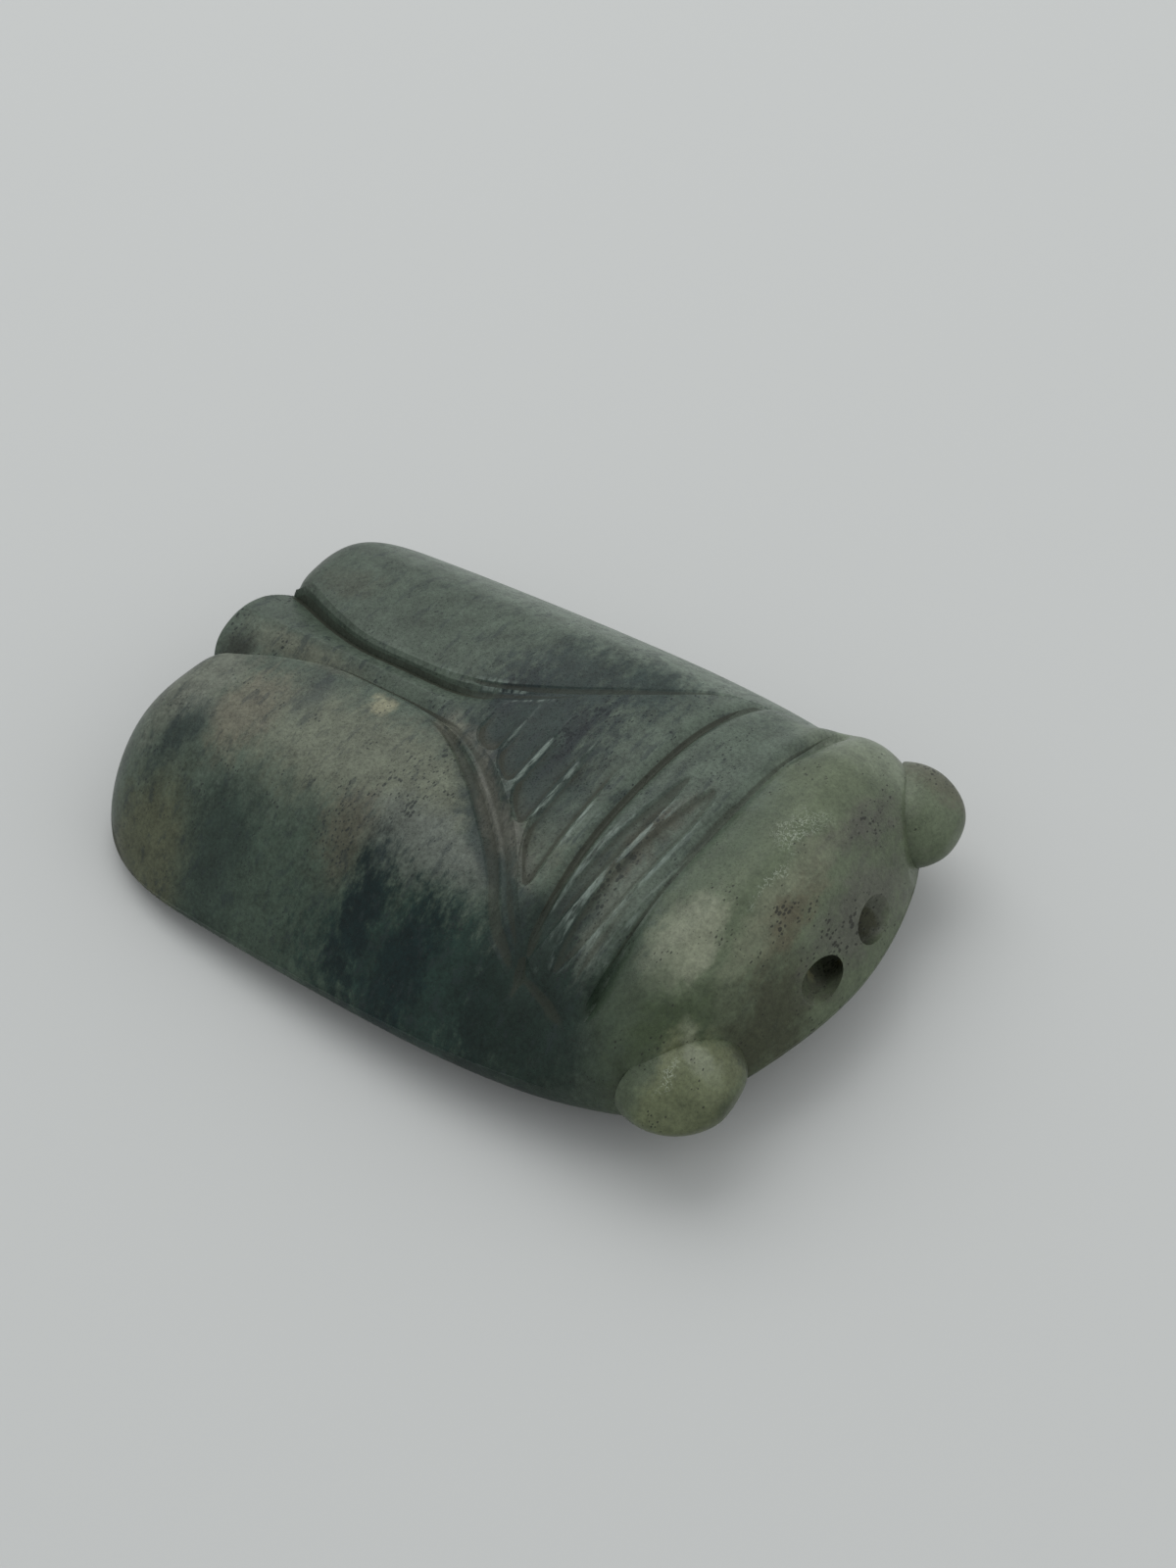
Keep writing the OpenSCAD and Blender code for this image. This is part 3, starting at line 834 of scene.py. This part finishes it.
# Name: centre (x, y), half size (along, across), turn in degrees, edge, ragged, share, colour
clouds = {
    # Paler celadon stone on the far side, with painted sheen of grazing light along its outer edge
    "far_side_pale_and_sheen": ((21, 2), (9.5, 30), 0, 0.35, 0.4, 0.9, (0.125, 0.155, 0.125)),
    # Painted shade: the near side, turned away from the lamp, is darkened
    "painted_shade_near_side": ((-21, 4), (7.7, 26), 0, 0.4, 1.6, 0.95, (0.038, 0.058, 0.041)),
    "head": ((0, -26), (22, 8.4), 0, 0.1, 0.3, 1, (0.082, 0.103, 0.063)),
    "collar": ((3, -14), (12, 5.5), 0, 0.4, 0.4, 0.9, (0.074, 0.097, 0.074)),
    "thorax": ((0.9, -0.8), (7, 5.8), 0, 0.45, 2.6, 0.9, (0.014, 0.025, 0.022)),
    # Warm pale stone along the near wing's crest, brightened further with painted sheen
    "warm_crest_and_sheen": ((-8, 7), (4, 15), 0, 0.5, 1.6, 0.95, (0.101, 0.113, 0.08)),
    "lobe": ((-8, 23), (5, 2.6), 0, 0.5, 1.2, 0.9, (0.108, 0.119, 0.093)),
    "warm_lobe": ((-8.8, 17.6), (3.4, 2.4), 10, 0.5, 1.6, 0.8, (0.106, 0.102, 0.073)),
    "olive_rim": ((-19, 20), (4, 4.5), 0, 0.5, 1.2, 0.9, (0.066, 0.072, 0.042)),
    "grey_wing": ((-11.2, -2.2), (2.6, 6), 6, 0.5, 1.2, 0.9, (0.088, 0.102, 0.085)),
    "cream_spot": ((-3.4, 9.2), (0.9, 0.8), 0, 0.7, 1.6, 0.8, (0.22, 0.215, 0.14)),
    # Painted shade along the far wing's inner edge
    "painted_shade_far_inner": ((5.4, 13.5), (2.8, 7), 0, 0.6, 1.6, 0.8, (0.049, 0.067, 0.049)),
    "ridge_far": ((1, 11), (1.2, 6), 0, 0.5, 1.2, 0.7, (0.078, 0.1, 0.078)),
    # Beige stone on the ridge's near face, made paler with painted light where it faces the lamp
    "ridge_near_pale_and_lit": ((-1.3, 18.5), (1.1, 5), 0, 0.6, 1.2, 0.8, (0.1, 0.108, 0.078)),
    "dark_notch": ((-3.2, 23.8), (1.6, 1.6), 0, 0.5, 1.6, 0.9, (0.02, 0.026, 0.018)),
    "far_lobe": ((7.4, 24.8), (2.8, 1.6), 0, 0.7, 1.6, 0.8, (0.046, 0.06, 0.046)),
    "brown_drift": ((-13.4, 4.2), (3.2, 1.9), 20, 0.7, 2.6, 0.7, (0.066, 0.062, 0.042)),
    "lobe_blot": ((-12.4, 21), (2.8, 1.1), -12, 0.7, 3, 0.9, (0.022, 0.034, 0.029)),
    "wing_drift": ((-5, 14.2), (3, 1.1), 12, 0.8, 3, 0.8, (0.04, 0.052, 0.044)),
    "side_drift": ((-17.4, 13.5), (4, 2.6), 25, 0.7, 2.4, 0.8, (0.019, 0.032, 0.025)),
    # Painted shade: the near side below the wing and beside the collar, almost black where it turns
    # from the lamp
    "painted_shade_side": ((-18, -5), (4.3, 8.6), 4, 0.45, 2.6, 0.95, (0.011, 0.027, 0.021)),
    "painted_shade_side_back": ((-16.6, 0.4), (4, 1.5), 8, 0.6, 3, 0.95, (0.003, 0.011, 0.011)),
    "painted_shade_side_mid": ((-18, -4.2), (3.6, 1.8), 0, 0.6, 3, 0.9, (0.003, 0.012, 0.012)),
    "painted_shade_side_front": ((-17, -11.2), (4, 1.8), 0, 0.6, 2.4, 0.95, (0.002, 0.008, 0.009)),
    "painted_shade_near_cheek": ((-16, -14.2), (5.4, 5.4), 0, 0.5, 0.9, 0.95, (0.008, 0.018, 0.013)),
    "border_shade": ((-9.2, -4.9), (7.6, 0.95), 51, 0.6, 0.8, 0.85, (0.026, 0.038, 0.034)),
    "flute_shade": ((-3.4, -4.8), (4.4, 3.8), 30, 0.6, 2.4, 0.85, (0.015, 0.026, 0.022)),
    "apex_pale": ((-2.2, 3.8), (1.1, 1.8), -30, 0.6, 1.2, 0.8, (0.115, 0.118, 0.09)),
    "rubbed_band": ((-6.4, -3.4), (6.4, 0.85), 51, 0.5, 1, 0.9, (0.086, 0.088, 0.072)),
    "waist_shade": ((-4, -12.1), (9, 0.55), 0, 0.8, 0.8, 0.7, (0.03, 0.041, 0.033)),
    "collar_shade": ((-12.5, -12.8), (3.6, 2), 0, 0.6, 1.2, 0.85, (0.016, 0.027, 0.021)),
    "far_wing_dark": ((6.8, -0.4), (4.8, 3.8), -20, 0.7, 3.2, 0.9, (0.024, 0.037, 0.033)),
    "far_wing_front": ((9.4, -5.4), (3.4, 2.6), 0, 0.7, 3.2, 0.85, (0.026, 0.04, 0.036)),
    "far_wing_tan": ((6.4, 20.5), (1.4, 2.6), 10, 0.7, 2.2, 0.6, (0.054, 0.062, 0.044)),
    "thorax_ink": ((1.6, -4.6), (3.4, 0.6), 3, 0.8, 3, 0.95, (0.008, 0.014, 0.015)),
    "apex_ink": ((3.4, 2.2), (2.4, 1.2), 0, 0.8, 3, 0.85, (0.012, 0.019, 0.02)),
    "collar_mid": ((-3, -13), (3.4, 2.8), 0, 0.7, 1.6, 0.6, (0.05, 0.069, 0.054)),
    "collar_pale": ((-9.6, -15.3), (3.8, 1), 6, 0.6, 1.6, 0.7, (0.118, 0.138, 0.11)),
    "collar_tan": ((-3.5, -14.2), (4.5, 0.9), -3, 0.8, 2.4, 0.7, (0.054, 0.05, 0.036)),
    "cream_brow": ((-8.9, -20.8), (3.9, 1.9), -4, 0.3, 0.9, 1, (0.172, 0.188, 0.132)),
    "head_far": ((7.5, -20.5), (6, 2.6), 0, 0.6, 0.9, 0.8, (0.098, 0.12, 0.074)),
    # Painted highlight along the far corner of the head
    "painted_highlight_far_cheek": ((15, -20.5), (3.6, 4.5), 0, 0.5, 0.6, 0.8, (0.15, 0.176, 0.124)),
    "brow_green": ((-1.5, -19), (6, 1.4), 0, 0.7, 0.8, 0.7, (0.06, 0.081, 0.051)),
    "cheek_shade": ((-14.5, -20.2), (4, 2.6), 20, 0.6, 0.7, 0.8, (0.04, 0.056, 0.034)),
    "brow_pale": ((-2, -24), (8, 0.9), 3, 0.6, 1.2, 0.6, (0.145, 0.155, 0.105)),
    "brow_tan": ((-3.2, -25), (3.4, 0.7), 6, 0.9, 3, 0.8, (0.08, 0.072, 0.044)),
    "brow_grey": ((7.4, -24.4), (3.6, 1), -6, 0.9, 3, 0.8, (0.06, 0.06, 0.05)),
    "nose_brown": ((-8.6, -26.9), (5, 1.4), -8, 0.6, 1.8, 0.85, (0.036, 0.039, 0.022)),
    "nose_grey": ((2.5, -27.4), (6, 1.3), 0, 0.6, 1.8, 0.8, (0.074, 0.076, 0.062)),
    # Painted shade where the near eye meets the head
    "painted_shade_over_eye": ((-13.2, -22.9), (3.4, 1), -28, 0.6, 0.8, 0.9, (0.036, 0.052, 0.025)),
    "near_eye": ((-15.2, -25.6), (3.4, 2.6), 0, 0.2, 0.8, 0.9, (0.104, 0.118, 0.064)),
    # Painted shade on the lower part of the near eye
    "painted_shade_under_eye": ((-16.4, -28), (3.6, 1.3), -25, 0.6, 1, 0.7, (0.05, 0.06, 0.031)),
    "eye_clear": ((-16.4, -25.4), (2.8, 2.2), -20, 0.3, 0.4, 0.9, (0.102, 0.118, 0.064)),
    # Painted highlight on the upper bevel of the near eye
    "painted_highlight_eye_bevel": ((-13.6, -25.2), (0.7, 1.7), -35, 0.6, 0.6, 0.8, (0.16, 0.178, 0.124)),
    "far_eye": ((17.6, -25.2), (2.6, 3.2), 0, 0.4, 1.6, 0.85, (0.078, 0.08, 0.054)),
}
jade_colour, takes, gives = new_group("jade_colour", {"Wandering": "Vector", "Wisps": "Float"},
                                      {"Color": "Color"})
colour = (*ground, 1)
for centre, size, turn, edge, ragged, share, tint in clouds.values():
    mask = cloud(jade_colour, takes, centre, size, edge, ragged, turn)
    colour = blend(jade_colour, sums(jade_colour, "MULTIPLY", mask, share), colour, (*tint, 1))
# The cord holes are cut later than the skin. Inside them the colour stands in for light: a pale
# painted glow where the two holes meet, for light seen through the stone, and painted shade on the
# wall of the left one.
for centre, size, tint in (((0, -26.3, 7.1), (3.3, 1.6, 1.5), (0.24, 0.24, 0.14)),
                           ((3.3, -27.6, 7.35), (1.2, 1.05, 0.95), (0.045, 0.048, 0.028))):
    painted_hole_light_and_shade = cloud(jade_colour, takes, centre, size, 0.2, 0.4)
    colour = blend(jade_colour, painted_hole_light_and_shade, colour, (*tint, 1))
jade_colour.links.new(colour, gives["Color"])
print("clouds in the stone:", len(clouds))

# %% [markdown]
# ## Jade: grain, streaks, specks, chips, and painted highlights on the crests
#
# Closer up the stone is mottled at every size, crossed by thin dark streaks that follow its fibres,
# and peppered with dark mineral specks that come in swarms. The crests of the carved lines get a
# painted highlight, and the grooves are darkened.

# %% Grain and streaks
jade_grain, takes, gives = new_group(
    "jade_grain", {"Color": "Color", "Place": "Vector", "Mottling": "Float", "Streaks": "Float"},
    {"Color": "Color", "Grain": "Float"})
patches = noise(jade_grain, takes["Place"], 0.55, 7.0, 0.62)["Fac"]
flecks = noise(jade_grain, takes["Place"], 3.4, 5.0, 0.7)["Fac"]
mottled = sums(jade_grain, "ADD", sums(jade_grain, "MULTIPLY", patches, 0.45),
               sums(jade_grain, "MULTIPLY", flecks, 0.55))
swing = sums(jade_grain, "MULTIPLY", sums(jade_grain, "SUBTRACT", mottled, 0.5),
             takes["Mottling"])
gain = sums(jade_grain, "MAXIMUM", sums(jade_grain, "ADD", swing, 1.0), 0.2)
colour = scaled(jade_grain, takes["Color"], gain)
along = stretched(jade_grain, takes["Place"], (0.42, 1.5, 1.0), -0.3)
veins = noise(jade_grain, along, 0.9, 6.0, 0.66)["Fac"]
vein = ramp(jade_grain, veins, 0.53, 0.66)
colour = blend(jade_grain, sums(jade_grain, "MULTIPLY", vein, takes["Streaks"]), colour,
               (0.018, 0.027, 0.027, 1))
jade_grain.links.new(colour, gives["Color"])
jade_grain.links.new(flecks, gives["Grain"])

# %% Specks
jade_specks, takes, gives = new_group(
    "jade_specks", {"Color": "Color", "Place": "Vector", "Amount": "Float", "Swarm": "Float",
                    "Tint": "Color"},
    {"Color": "Color", "Mask": "Float"})
along = stretched(jade_specks, takes["Place"], (0.65, 1.25, 1.0))
dots = put(jade_specks, "TexVoronoi", {"Vector": along, "Scale": 3.0,
                                       "Randomness": 1.0}).outputs["Distance"]
bent = noise(jade_specks, takes["Place"], 6.0, 2.0)["Fac"]
dots = sums(jade_specks, "MULTIPLY_ADD", sums(jade_specks, "SUBTRACT", bent, 0.5), 0.45, dots)
swarm = ramp(jade_specks, noise(jade_specks, takes["Place"], 0.5, 4.0)["Fac"], 0.50, 0.64)
swarm = sums(jade_specks, "MULTIPLY", sums(jade_specks, "ADD", swarm, takes["Swarm"]),
             takes["Amount"])
size = sums(jade_specks, "MULTIPLY", swarm, 0.30)
mask = ramp(jade_specks, sums(jade_specks, "SUBTRACT", size, dots), -0.03, 0.05)
mask = sums(jade_specks, "MULTIPLY", mask, 0.75)
jade_specks.links.new(blend(jade_specks, mask, takes["Color"], takes["Tint"]), gives["Color"])
jade_specks.links.new(mask, gives["Mask"])

# %% Where they gather
# Name: centre (x, y), half size and turn, for swarms of specks, for chips and painted glints,
# and for crests with a painted highlight
swarms = {"collar_far": ((7.4, -13.6), (3.2, 0.6), 0), "collar_near": ((-7, -14.1), (6.5, 0.8), 0),
          "brow_near": ((-3.6, -25.0), (3.4, 0.6), 0), "brow_far": ((7.6, -24.2), (3.6, 0.9), 0),
          "far_eye": ((17.8, -25.4), (2.4, 2.6), 0), "wing_front": ((-7.5, 2.6), (4.0, 2.4), 0),
          "wing_side": ((-13.4, 5.0), (2.6, 2.0), 0), "nose": ((-0.5, -27.4), (6.0, 1.0), 0),
          "thorax": ((2.0, -4.2), (4.5, 0.8), 4), "apex": ((2.5, 2.6), (3.0, 1.0), 0)}
# The brow chip is pale flecks in the stone; the brow's arc and the spot on the eye are painted
# highlights
chips = {"brow": ((2.8, -21.8), (2.3, 1.2), 0), "painted_brow_highlight": ((-2.4, -22.9), (2.2, 0.35), 0),
         "eye": ((-16.2, -24.4), (1.2, 0.5), 0)}
# Places where the crests of the carved lines get a painted highlight
highlit_crest_areas = {"flutes": ((-3.0, -5.2), (5.8, 2.3), 58), "grooves": ((-7.0, -14.2), (6.6, 3.2), 0),
          "far_border": ((3.2, 5), (13, 1.3), 80)}


def gathered(name, places, edge):
    """A group whose mask is the highest of the clouds at the named places."""
    tree, takes, gives = new_group(name, {"Wandering": "Vector", "Wisps": "Float"},
                                   {"Mask": "Float"})
    mask = 0.0
    for centre, size, turn in places.values():
        mask = sums(tree, "MAXIMUM", cloud(tree, takes, centre, size, edge, 1.0, turn), mask)
    tree.links.new(mask, gives["Mask"])
    return tree


speck_swarms = gathered("speck_swarms", swarms, 0.5)
bright_chips = gathered("bright_chips", chips, 0.5)
highlit_crest_places = gathered("highlit_crest_places", highlit_crest_areas, 0.3)
print("swarms:", len(swarms), "scuffed places:", len(highlit_crest_areas))

# %% Painted highlights on the crests, darker grooves and chips
painted_line_light_and_chips, takes, gives = new_group(
    "painted_line_light_and_chips", {"Color": "Color", "Place": "Vector", "Relief": "Float", "Highlit_crests": "Float",
                   "Chipped": "Float", "Crests": "Float", "Groove_darkening": "Float"},
    {"Color": "Color", "Roughness": "Float"})
# Pale flecks at the chip places; on the brow's arc and on the eye they are painted highlights
flake = noise(painted_line_light_and_chips, takes["Place"], 2.6, 3.0, 0.6)["Fac"]
flake = sums(painted_line_light_and_chips, "ABSOLUTE", sums(painted_line_light_and_chips, "SUBTRACT", flake, 0.5), 0.0)
flake = sums(painted_line_light_and_chips, "MULTIPLY", ramp(painted_line_light_and_chips, flake, 0.030, 0.004), takes["Chipped"])
# Painted highlight: the crests are lightened where they stand out, broken along their length, in
# the places listed above
along = stretched(painted_line_light_and_chips, takes["Place"], (0.45, 3.0, 1.0), 0.06)
broken = ramp(painted_line_light_and_chips, noise(painted_line_light_and_chips, along, 1.0, 5.0, 0.6)["Fac"], 0.38, 0.60)
crest = sums(painted_line_light_and_chips, "MULTIPLY", ramp(painted_line_light_and_chips, takes["Relief"], 0.004, 0.09), broken)
crest = sums(painted_line_light_and_chips, "MULTIPLY", crest, takes["Highlit_crests"])
# The grooves are darkened, by the amount given
groove = ramp(painted_line_light_and_chips, takes["Relief"], -0.006, -0.06)
# The pale colour of the painted highlight on the crests
colour = blend(painted_line_light_and_chips, sums(painted_line_light_and_chips, "MULTIPLY", crest, takes["Crests"]), takes["Color"],
               (0.20, 0.245, 0.215, 1))
colour = blend(painted_line_light_and_chips, sums(painted_line_light_and_chips, "MULTIPLY", groove, takes["Groove_darkening"]), colour,
               (0.030, 0.032, 0.022, 1))
colour = blend(painted_line_light_and_chips, sums(painted_line_light_and_chips, "MULTIPLY", flake, 0.6), colour,
               (0.34, 0.38, 0.31, 1))
painted_line_light_and_chips.links.new(colour, gives["Color"])
painted_line_light_and_chips.links.new(sums(painted_line_light_and_chips, "MULTIPLY_ADD", groove, 0.2,
                          sums(painted_line_light_and_chips, "MULTIPLY", crest, -0.1)), gives["Roughness"])
print("grain, specks and wear ready")

# %% Polish
jade_polish, takes, gives = new_group(
    "jade_polish", {"Place": "Vector", "Grain": "Float", "Specks": "Float", "Satin": "Float",
                    "Waves": "Float", "Pits": "Float"}, {"Roughness": "Float", "Height": "Float"})
rubbed = noise(jade_polish, takes["Place"], 0.8, 4.0, 0.6)["Fac"]
rough = sums(jade_polish, "MULTIPLY_ADD", sums(jade_polish, "SUBTRACT", rubbed, 0.5), 0.22,
             takes["Satin"])
rough = sums(jade_polish, "MULTIPLY_ADD", takes["Specks"], 0.15, rough)
waves = noise(jade_polish, takes["Place"], 0.35, 1.0)["Fac"]
pits = ramp(jade_polish, noise(jade_polish, takes["Place"], 7.0, 3.0, 0.6)["Fac"], 0.42, 0.30)
height = sums(jade_polish, "MULTIPLY", waves, takes["Waves"])
height = sums(jade_polish, "SUBTRACT", height, sums(jade_polish, "MULTIPLY", pits, takes["Pits"]))
height = sums(jade_polish, "MULTIPLY_ADD", takes["Grain"], 0.012, height)
jade_polish.links.new(rough, gives["Roughness"])
jade_polish.links.new(height, gives["Height"])

# %% [markdown]
# ## Jade: three finishes
#
# The wings, collar and belly are a mid green, the thorax and abdomen darker and more streaked, and
# the head and eyes pale and speckled. The finishes share every group above and differ in how much
# of each they take. Relief is how far a point stands above the skin round it, worked out once for
# each point and kept on the mesh.

# %% Relief on the meshes


CIRCLE_RADIUS, CIRCLE_POINTS = 0.45, 12


def mark_relief(piece):
    """Height of the skin less its mean height round a circle, in millimetres, at each point."""
    mesh = piece.data
    points = np.empty(len(mesh.vertices) * 3, np.float32)
    mesh.vertices.foreach_get("co", points)
    x, y, _ = (points.reshape(-1, 3) / MM).T
    a = np.linspace(0, 2 * np.pi, CIRCLE_POINTS, endpoint=False)[:, None]
    circle = top(x + CIRCLE_RADIUS * np.cos(a), y + CIRCLE_RADIUS * np.sin(a)).mean(0)
    inside = np.clip((half_width(y) - np.abs(x)) / 2 - 0.5, 0, 1)
    relief = np.clip(top(x, y) - circle, -1, 1) * inside
    mesh.attributes.new("relief", "FLOAT", "POINT").data.foreach_set(
        "value", relief.astype(np.float32))
    print(f"{piece.name}: relief {relief.min():.2f} to {relief.max():.2f}")


for piece in (left_wing, right_wing, collar, thorax, abdomen):
    mark_relief(piece)

# %% Finishes


def jade(name, mottling, streaks, specks, speck_tint, crests, groove_darkening, satin, waves, pits):
    """One finish of the stone."""
    material = bpy.data.materials.new(name)
    material.use_nodes = True
    tree = material.node_tree
    shader = tree.nodes["Principled BSDF"]
    shader.inputs["Specular IOR Level"].default_value = 0.18
    at = place_group(tree, stone_place, {})
    solid = {"Wandering": at["Wandering"], "Wisps": at["Wisps"]}
    colour = place_group(tree, jade_colour, solid)["Color"]
    grain = place_group(tree, jade_grain, {"Color": colour, "Place": at["Place"],
                                           "Mottling": mottling, "Streaks": streaks})
    speck = place_group(tree, jade_specks, {
        "Color": grain["Color"], "Place": at["Place"], "Amount": specks,
        "Tint": (*speck_tint, 1), "Swarm": place_group(tree, speck_swarms, solid)["Mask"]})
    relief = put(tree, "Attribute", {}, attribute_name="relief").outputs["Fac"]
    worn = place_group(tree, painted_line_light_and_chips, {
        "Color": speck["Color"], "Place": at["Place"], "Relief": relief, "Crests": crests,
        "Highlit_crests": place_group(tree, highlit_crest_places, solid)["Mask"],
        "Chipped": place_group(tree, bright_chips, solid)["Mask"], "Groove_darkening": groove_darkening})
    polish = place_group(tree, jade_polish, {"Place": at["Place"], "Grain": grain["Grain"],
                                             "Specks": speck["Mask"], "Satin": satin,
                                             "Waves": waves, "Pits": pits})
    tree.links.new(worn["Color"], shader.inputs["Base Color"])
    tree.links.new(sums(tree, "ADD", polish["Roughness"], worn["Roughness"]),
                   shader.inputs["Roughness"])
    bump = put(tree, "Bump", {"Height": polish["Height"], "Strength": 1.0, "Distance": MM})
    tree.links.new(bump.outputs[0], shader.inputs["Normal"])
    return material


green_jade = jade("green_jade", 3.0, 0.5, 0.85, (0.016, 0.021, 0.020), 0.6, 0.5, 0.38, 0.10,
                  0.02)
dark_jade = jade("dark_jade", 3.0, 0.6, 1.1, (0.008, 0.012, 0.013), 0.8, 0.8, 0.38, 0.08, 0.02)
pale_jade = jade("pale_jade", 2.2, 0.1, 0.8, (0.014, 0.015, 0.012), 0.4, 0.5, 0.34, 0.12, 0.015)
for stone, pieces in ((green_jade, (left_wing, right_wing, collar, belly)),
                      (dark_jade, (thorax, abdomen)), (pale_jade, (head, left_eye, right_eye))):
    for piece in pieces:
        piece.data.materials.clear()
        piece.data.materials.append(stone)
    print(stone.name, "on", [piece.name for piece in pieces])

# %% [markdown]
# ## Floor, light and camera
#
# A plain pale floor, a wide soft lamp from behind and above, a weaker one that fills the shade in
# front, and an even pale sky keep the light at a plain level.

# %% Floor
FLOOR_REACH = 3.0  # metres
floor_mesh = bpy.data.meshes.new("floor")
floor_mesh.from_pydata([(x * FLOOR_REACH, y * FLOOR_REACH, 0)
                        for x, y in ((-1, -1), (1, -1), (1, 1), (-1, 1))], [], [(0, 1, 2, 3)])
floor = placed("floor", floor_mesh)
cloth = bpy.data.materials.new("pale_cloth")
cloth.use_nodes = True
matt = cloth.node_tree.nodes["Principled BSDF"].inputs
matt["Base Color"].default_value = (0.49, 0.50, 0.49, 1)
matt["Roughness"].default_value = 0.9
floor_mesh.materials.append(cloth)

# %% Light


def soft_lamp(name, place, size, power):
    """A square lamp at a place, facing the carving."""
    lamp = bpy.data.lights.new(name, "AREA")
    lamp.size, lamp.energy = size, power
    holder = placed(name, lamp)
    holder.location = place
    direction = -holder.location.normalized()
    holder.rotation_euler = direction.to_track_quat("-Z", "Y").to_euler()


soft_lamp("window", (0.19, 0.28, 0.56), 0.65, 1.95)
soft_lamp("fill", (0.38, -0.44, 0.42), 0.7, 0.8)
world = bpy.data.worlds.new("sky")
bpy.context.scene.world = world
world.use_nodes = True
sky = world.node_tree.nodes["Background"]
sky.inputs["Color"].default_value = (0.96, 0.98, 1.0, 1)
sky.inputs["Strength"].default_value = 0.72
bpy.context.scene.view_settings.view_transform = "Standard"

# %% Camera
camera_data = bpy.data.cameras.new("camera")
camera_data.lens, camera_data.sensor_width = 54.07, 36
camera_data.clip_start, camera_data.clip_end = 0.01, 20
camera = placed("camera", camera_data)
target = np.array([8.434, -0.207, 0]) * MM
azimuth, elevation, distance = np.radians(-53.84), np.radians(46.24), 179.55 * MM
back = np.array([np.cos(elevation) * np.sin(azimuth), -np.cos(elevation) * np.cos(azimuth),
                 np.sin(elevation)])
camera.location = target + distance * back
camera.rotation_euler = (np.pi / 2 - elevation, 0, azimuth)
bpy.context.scene.camera = camera
print("camera at", [round(c, 4) for c in camera.location])
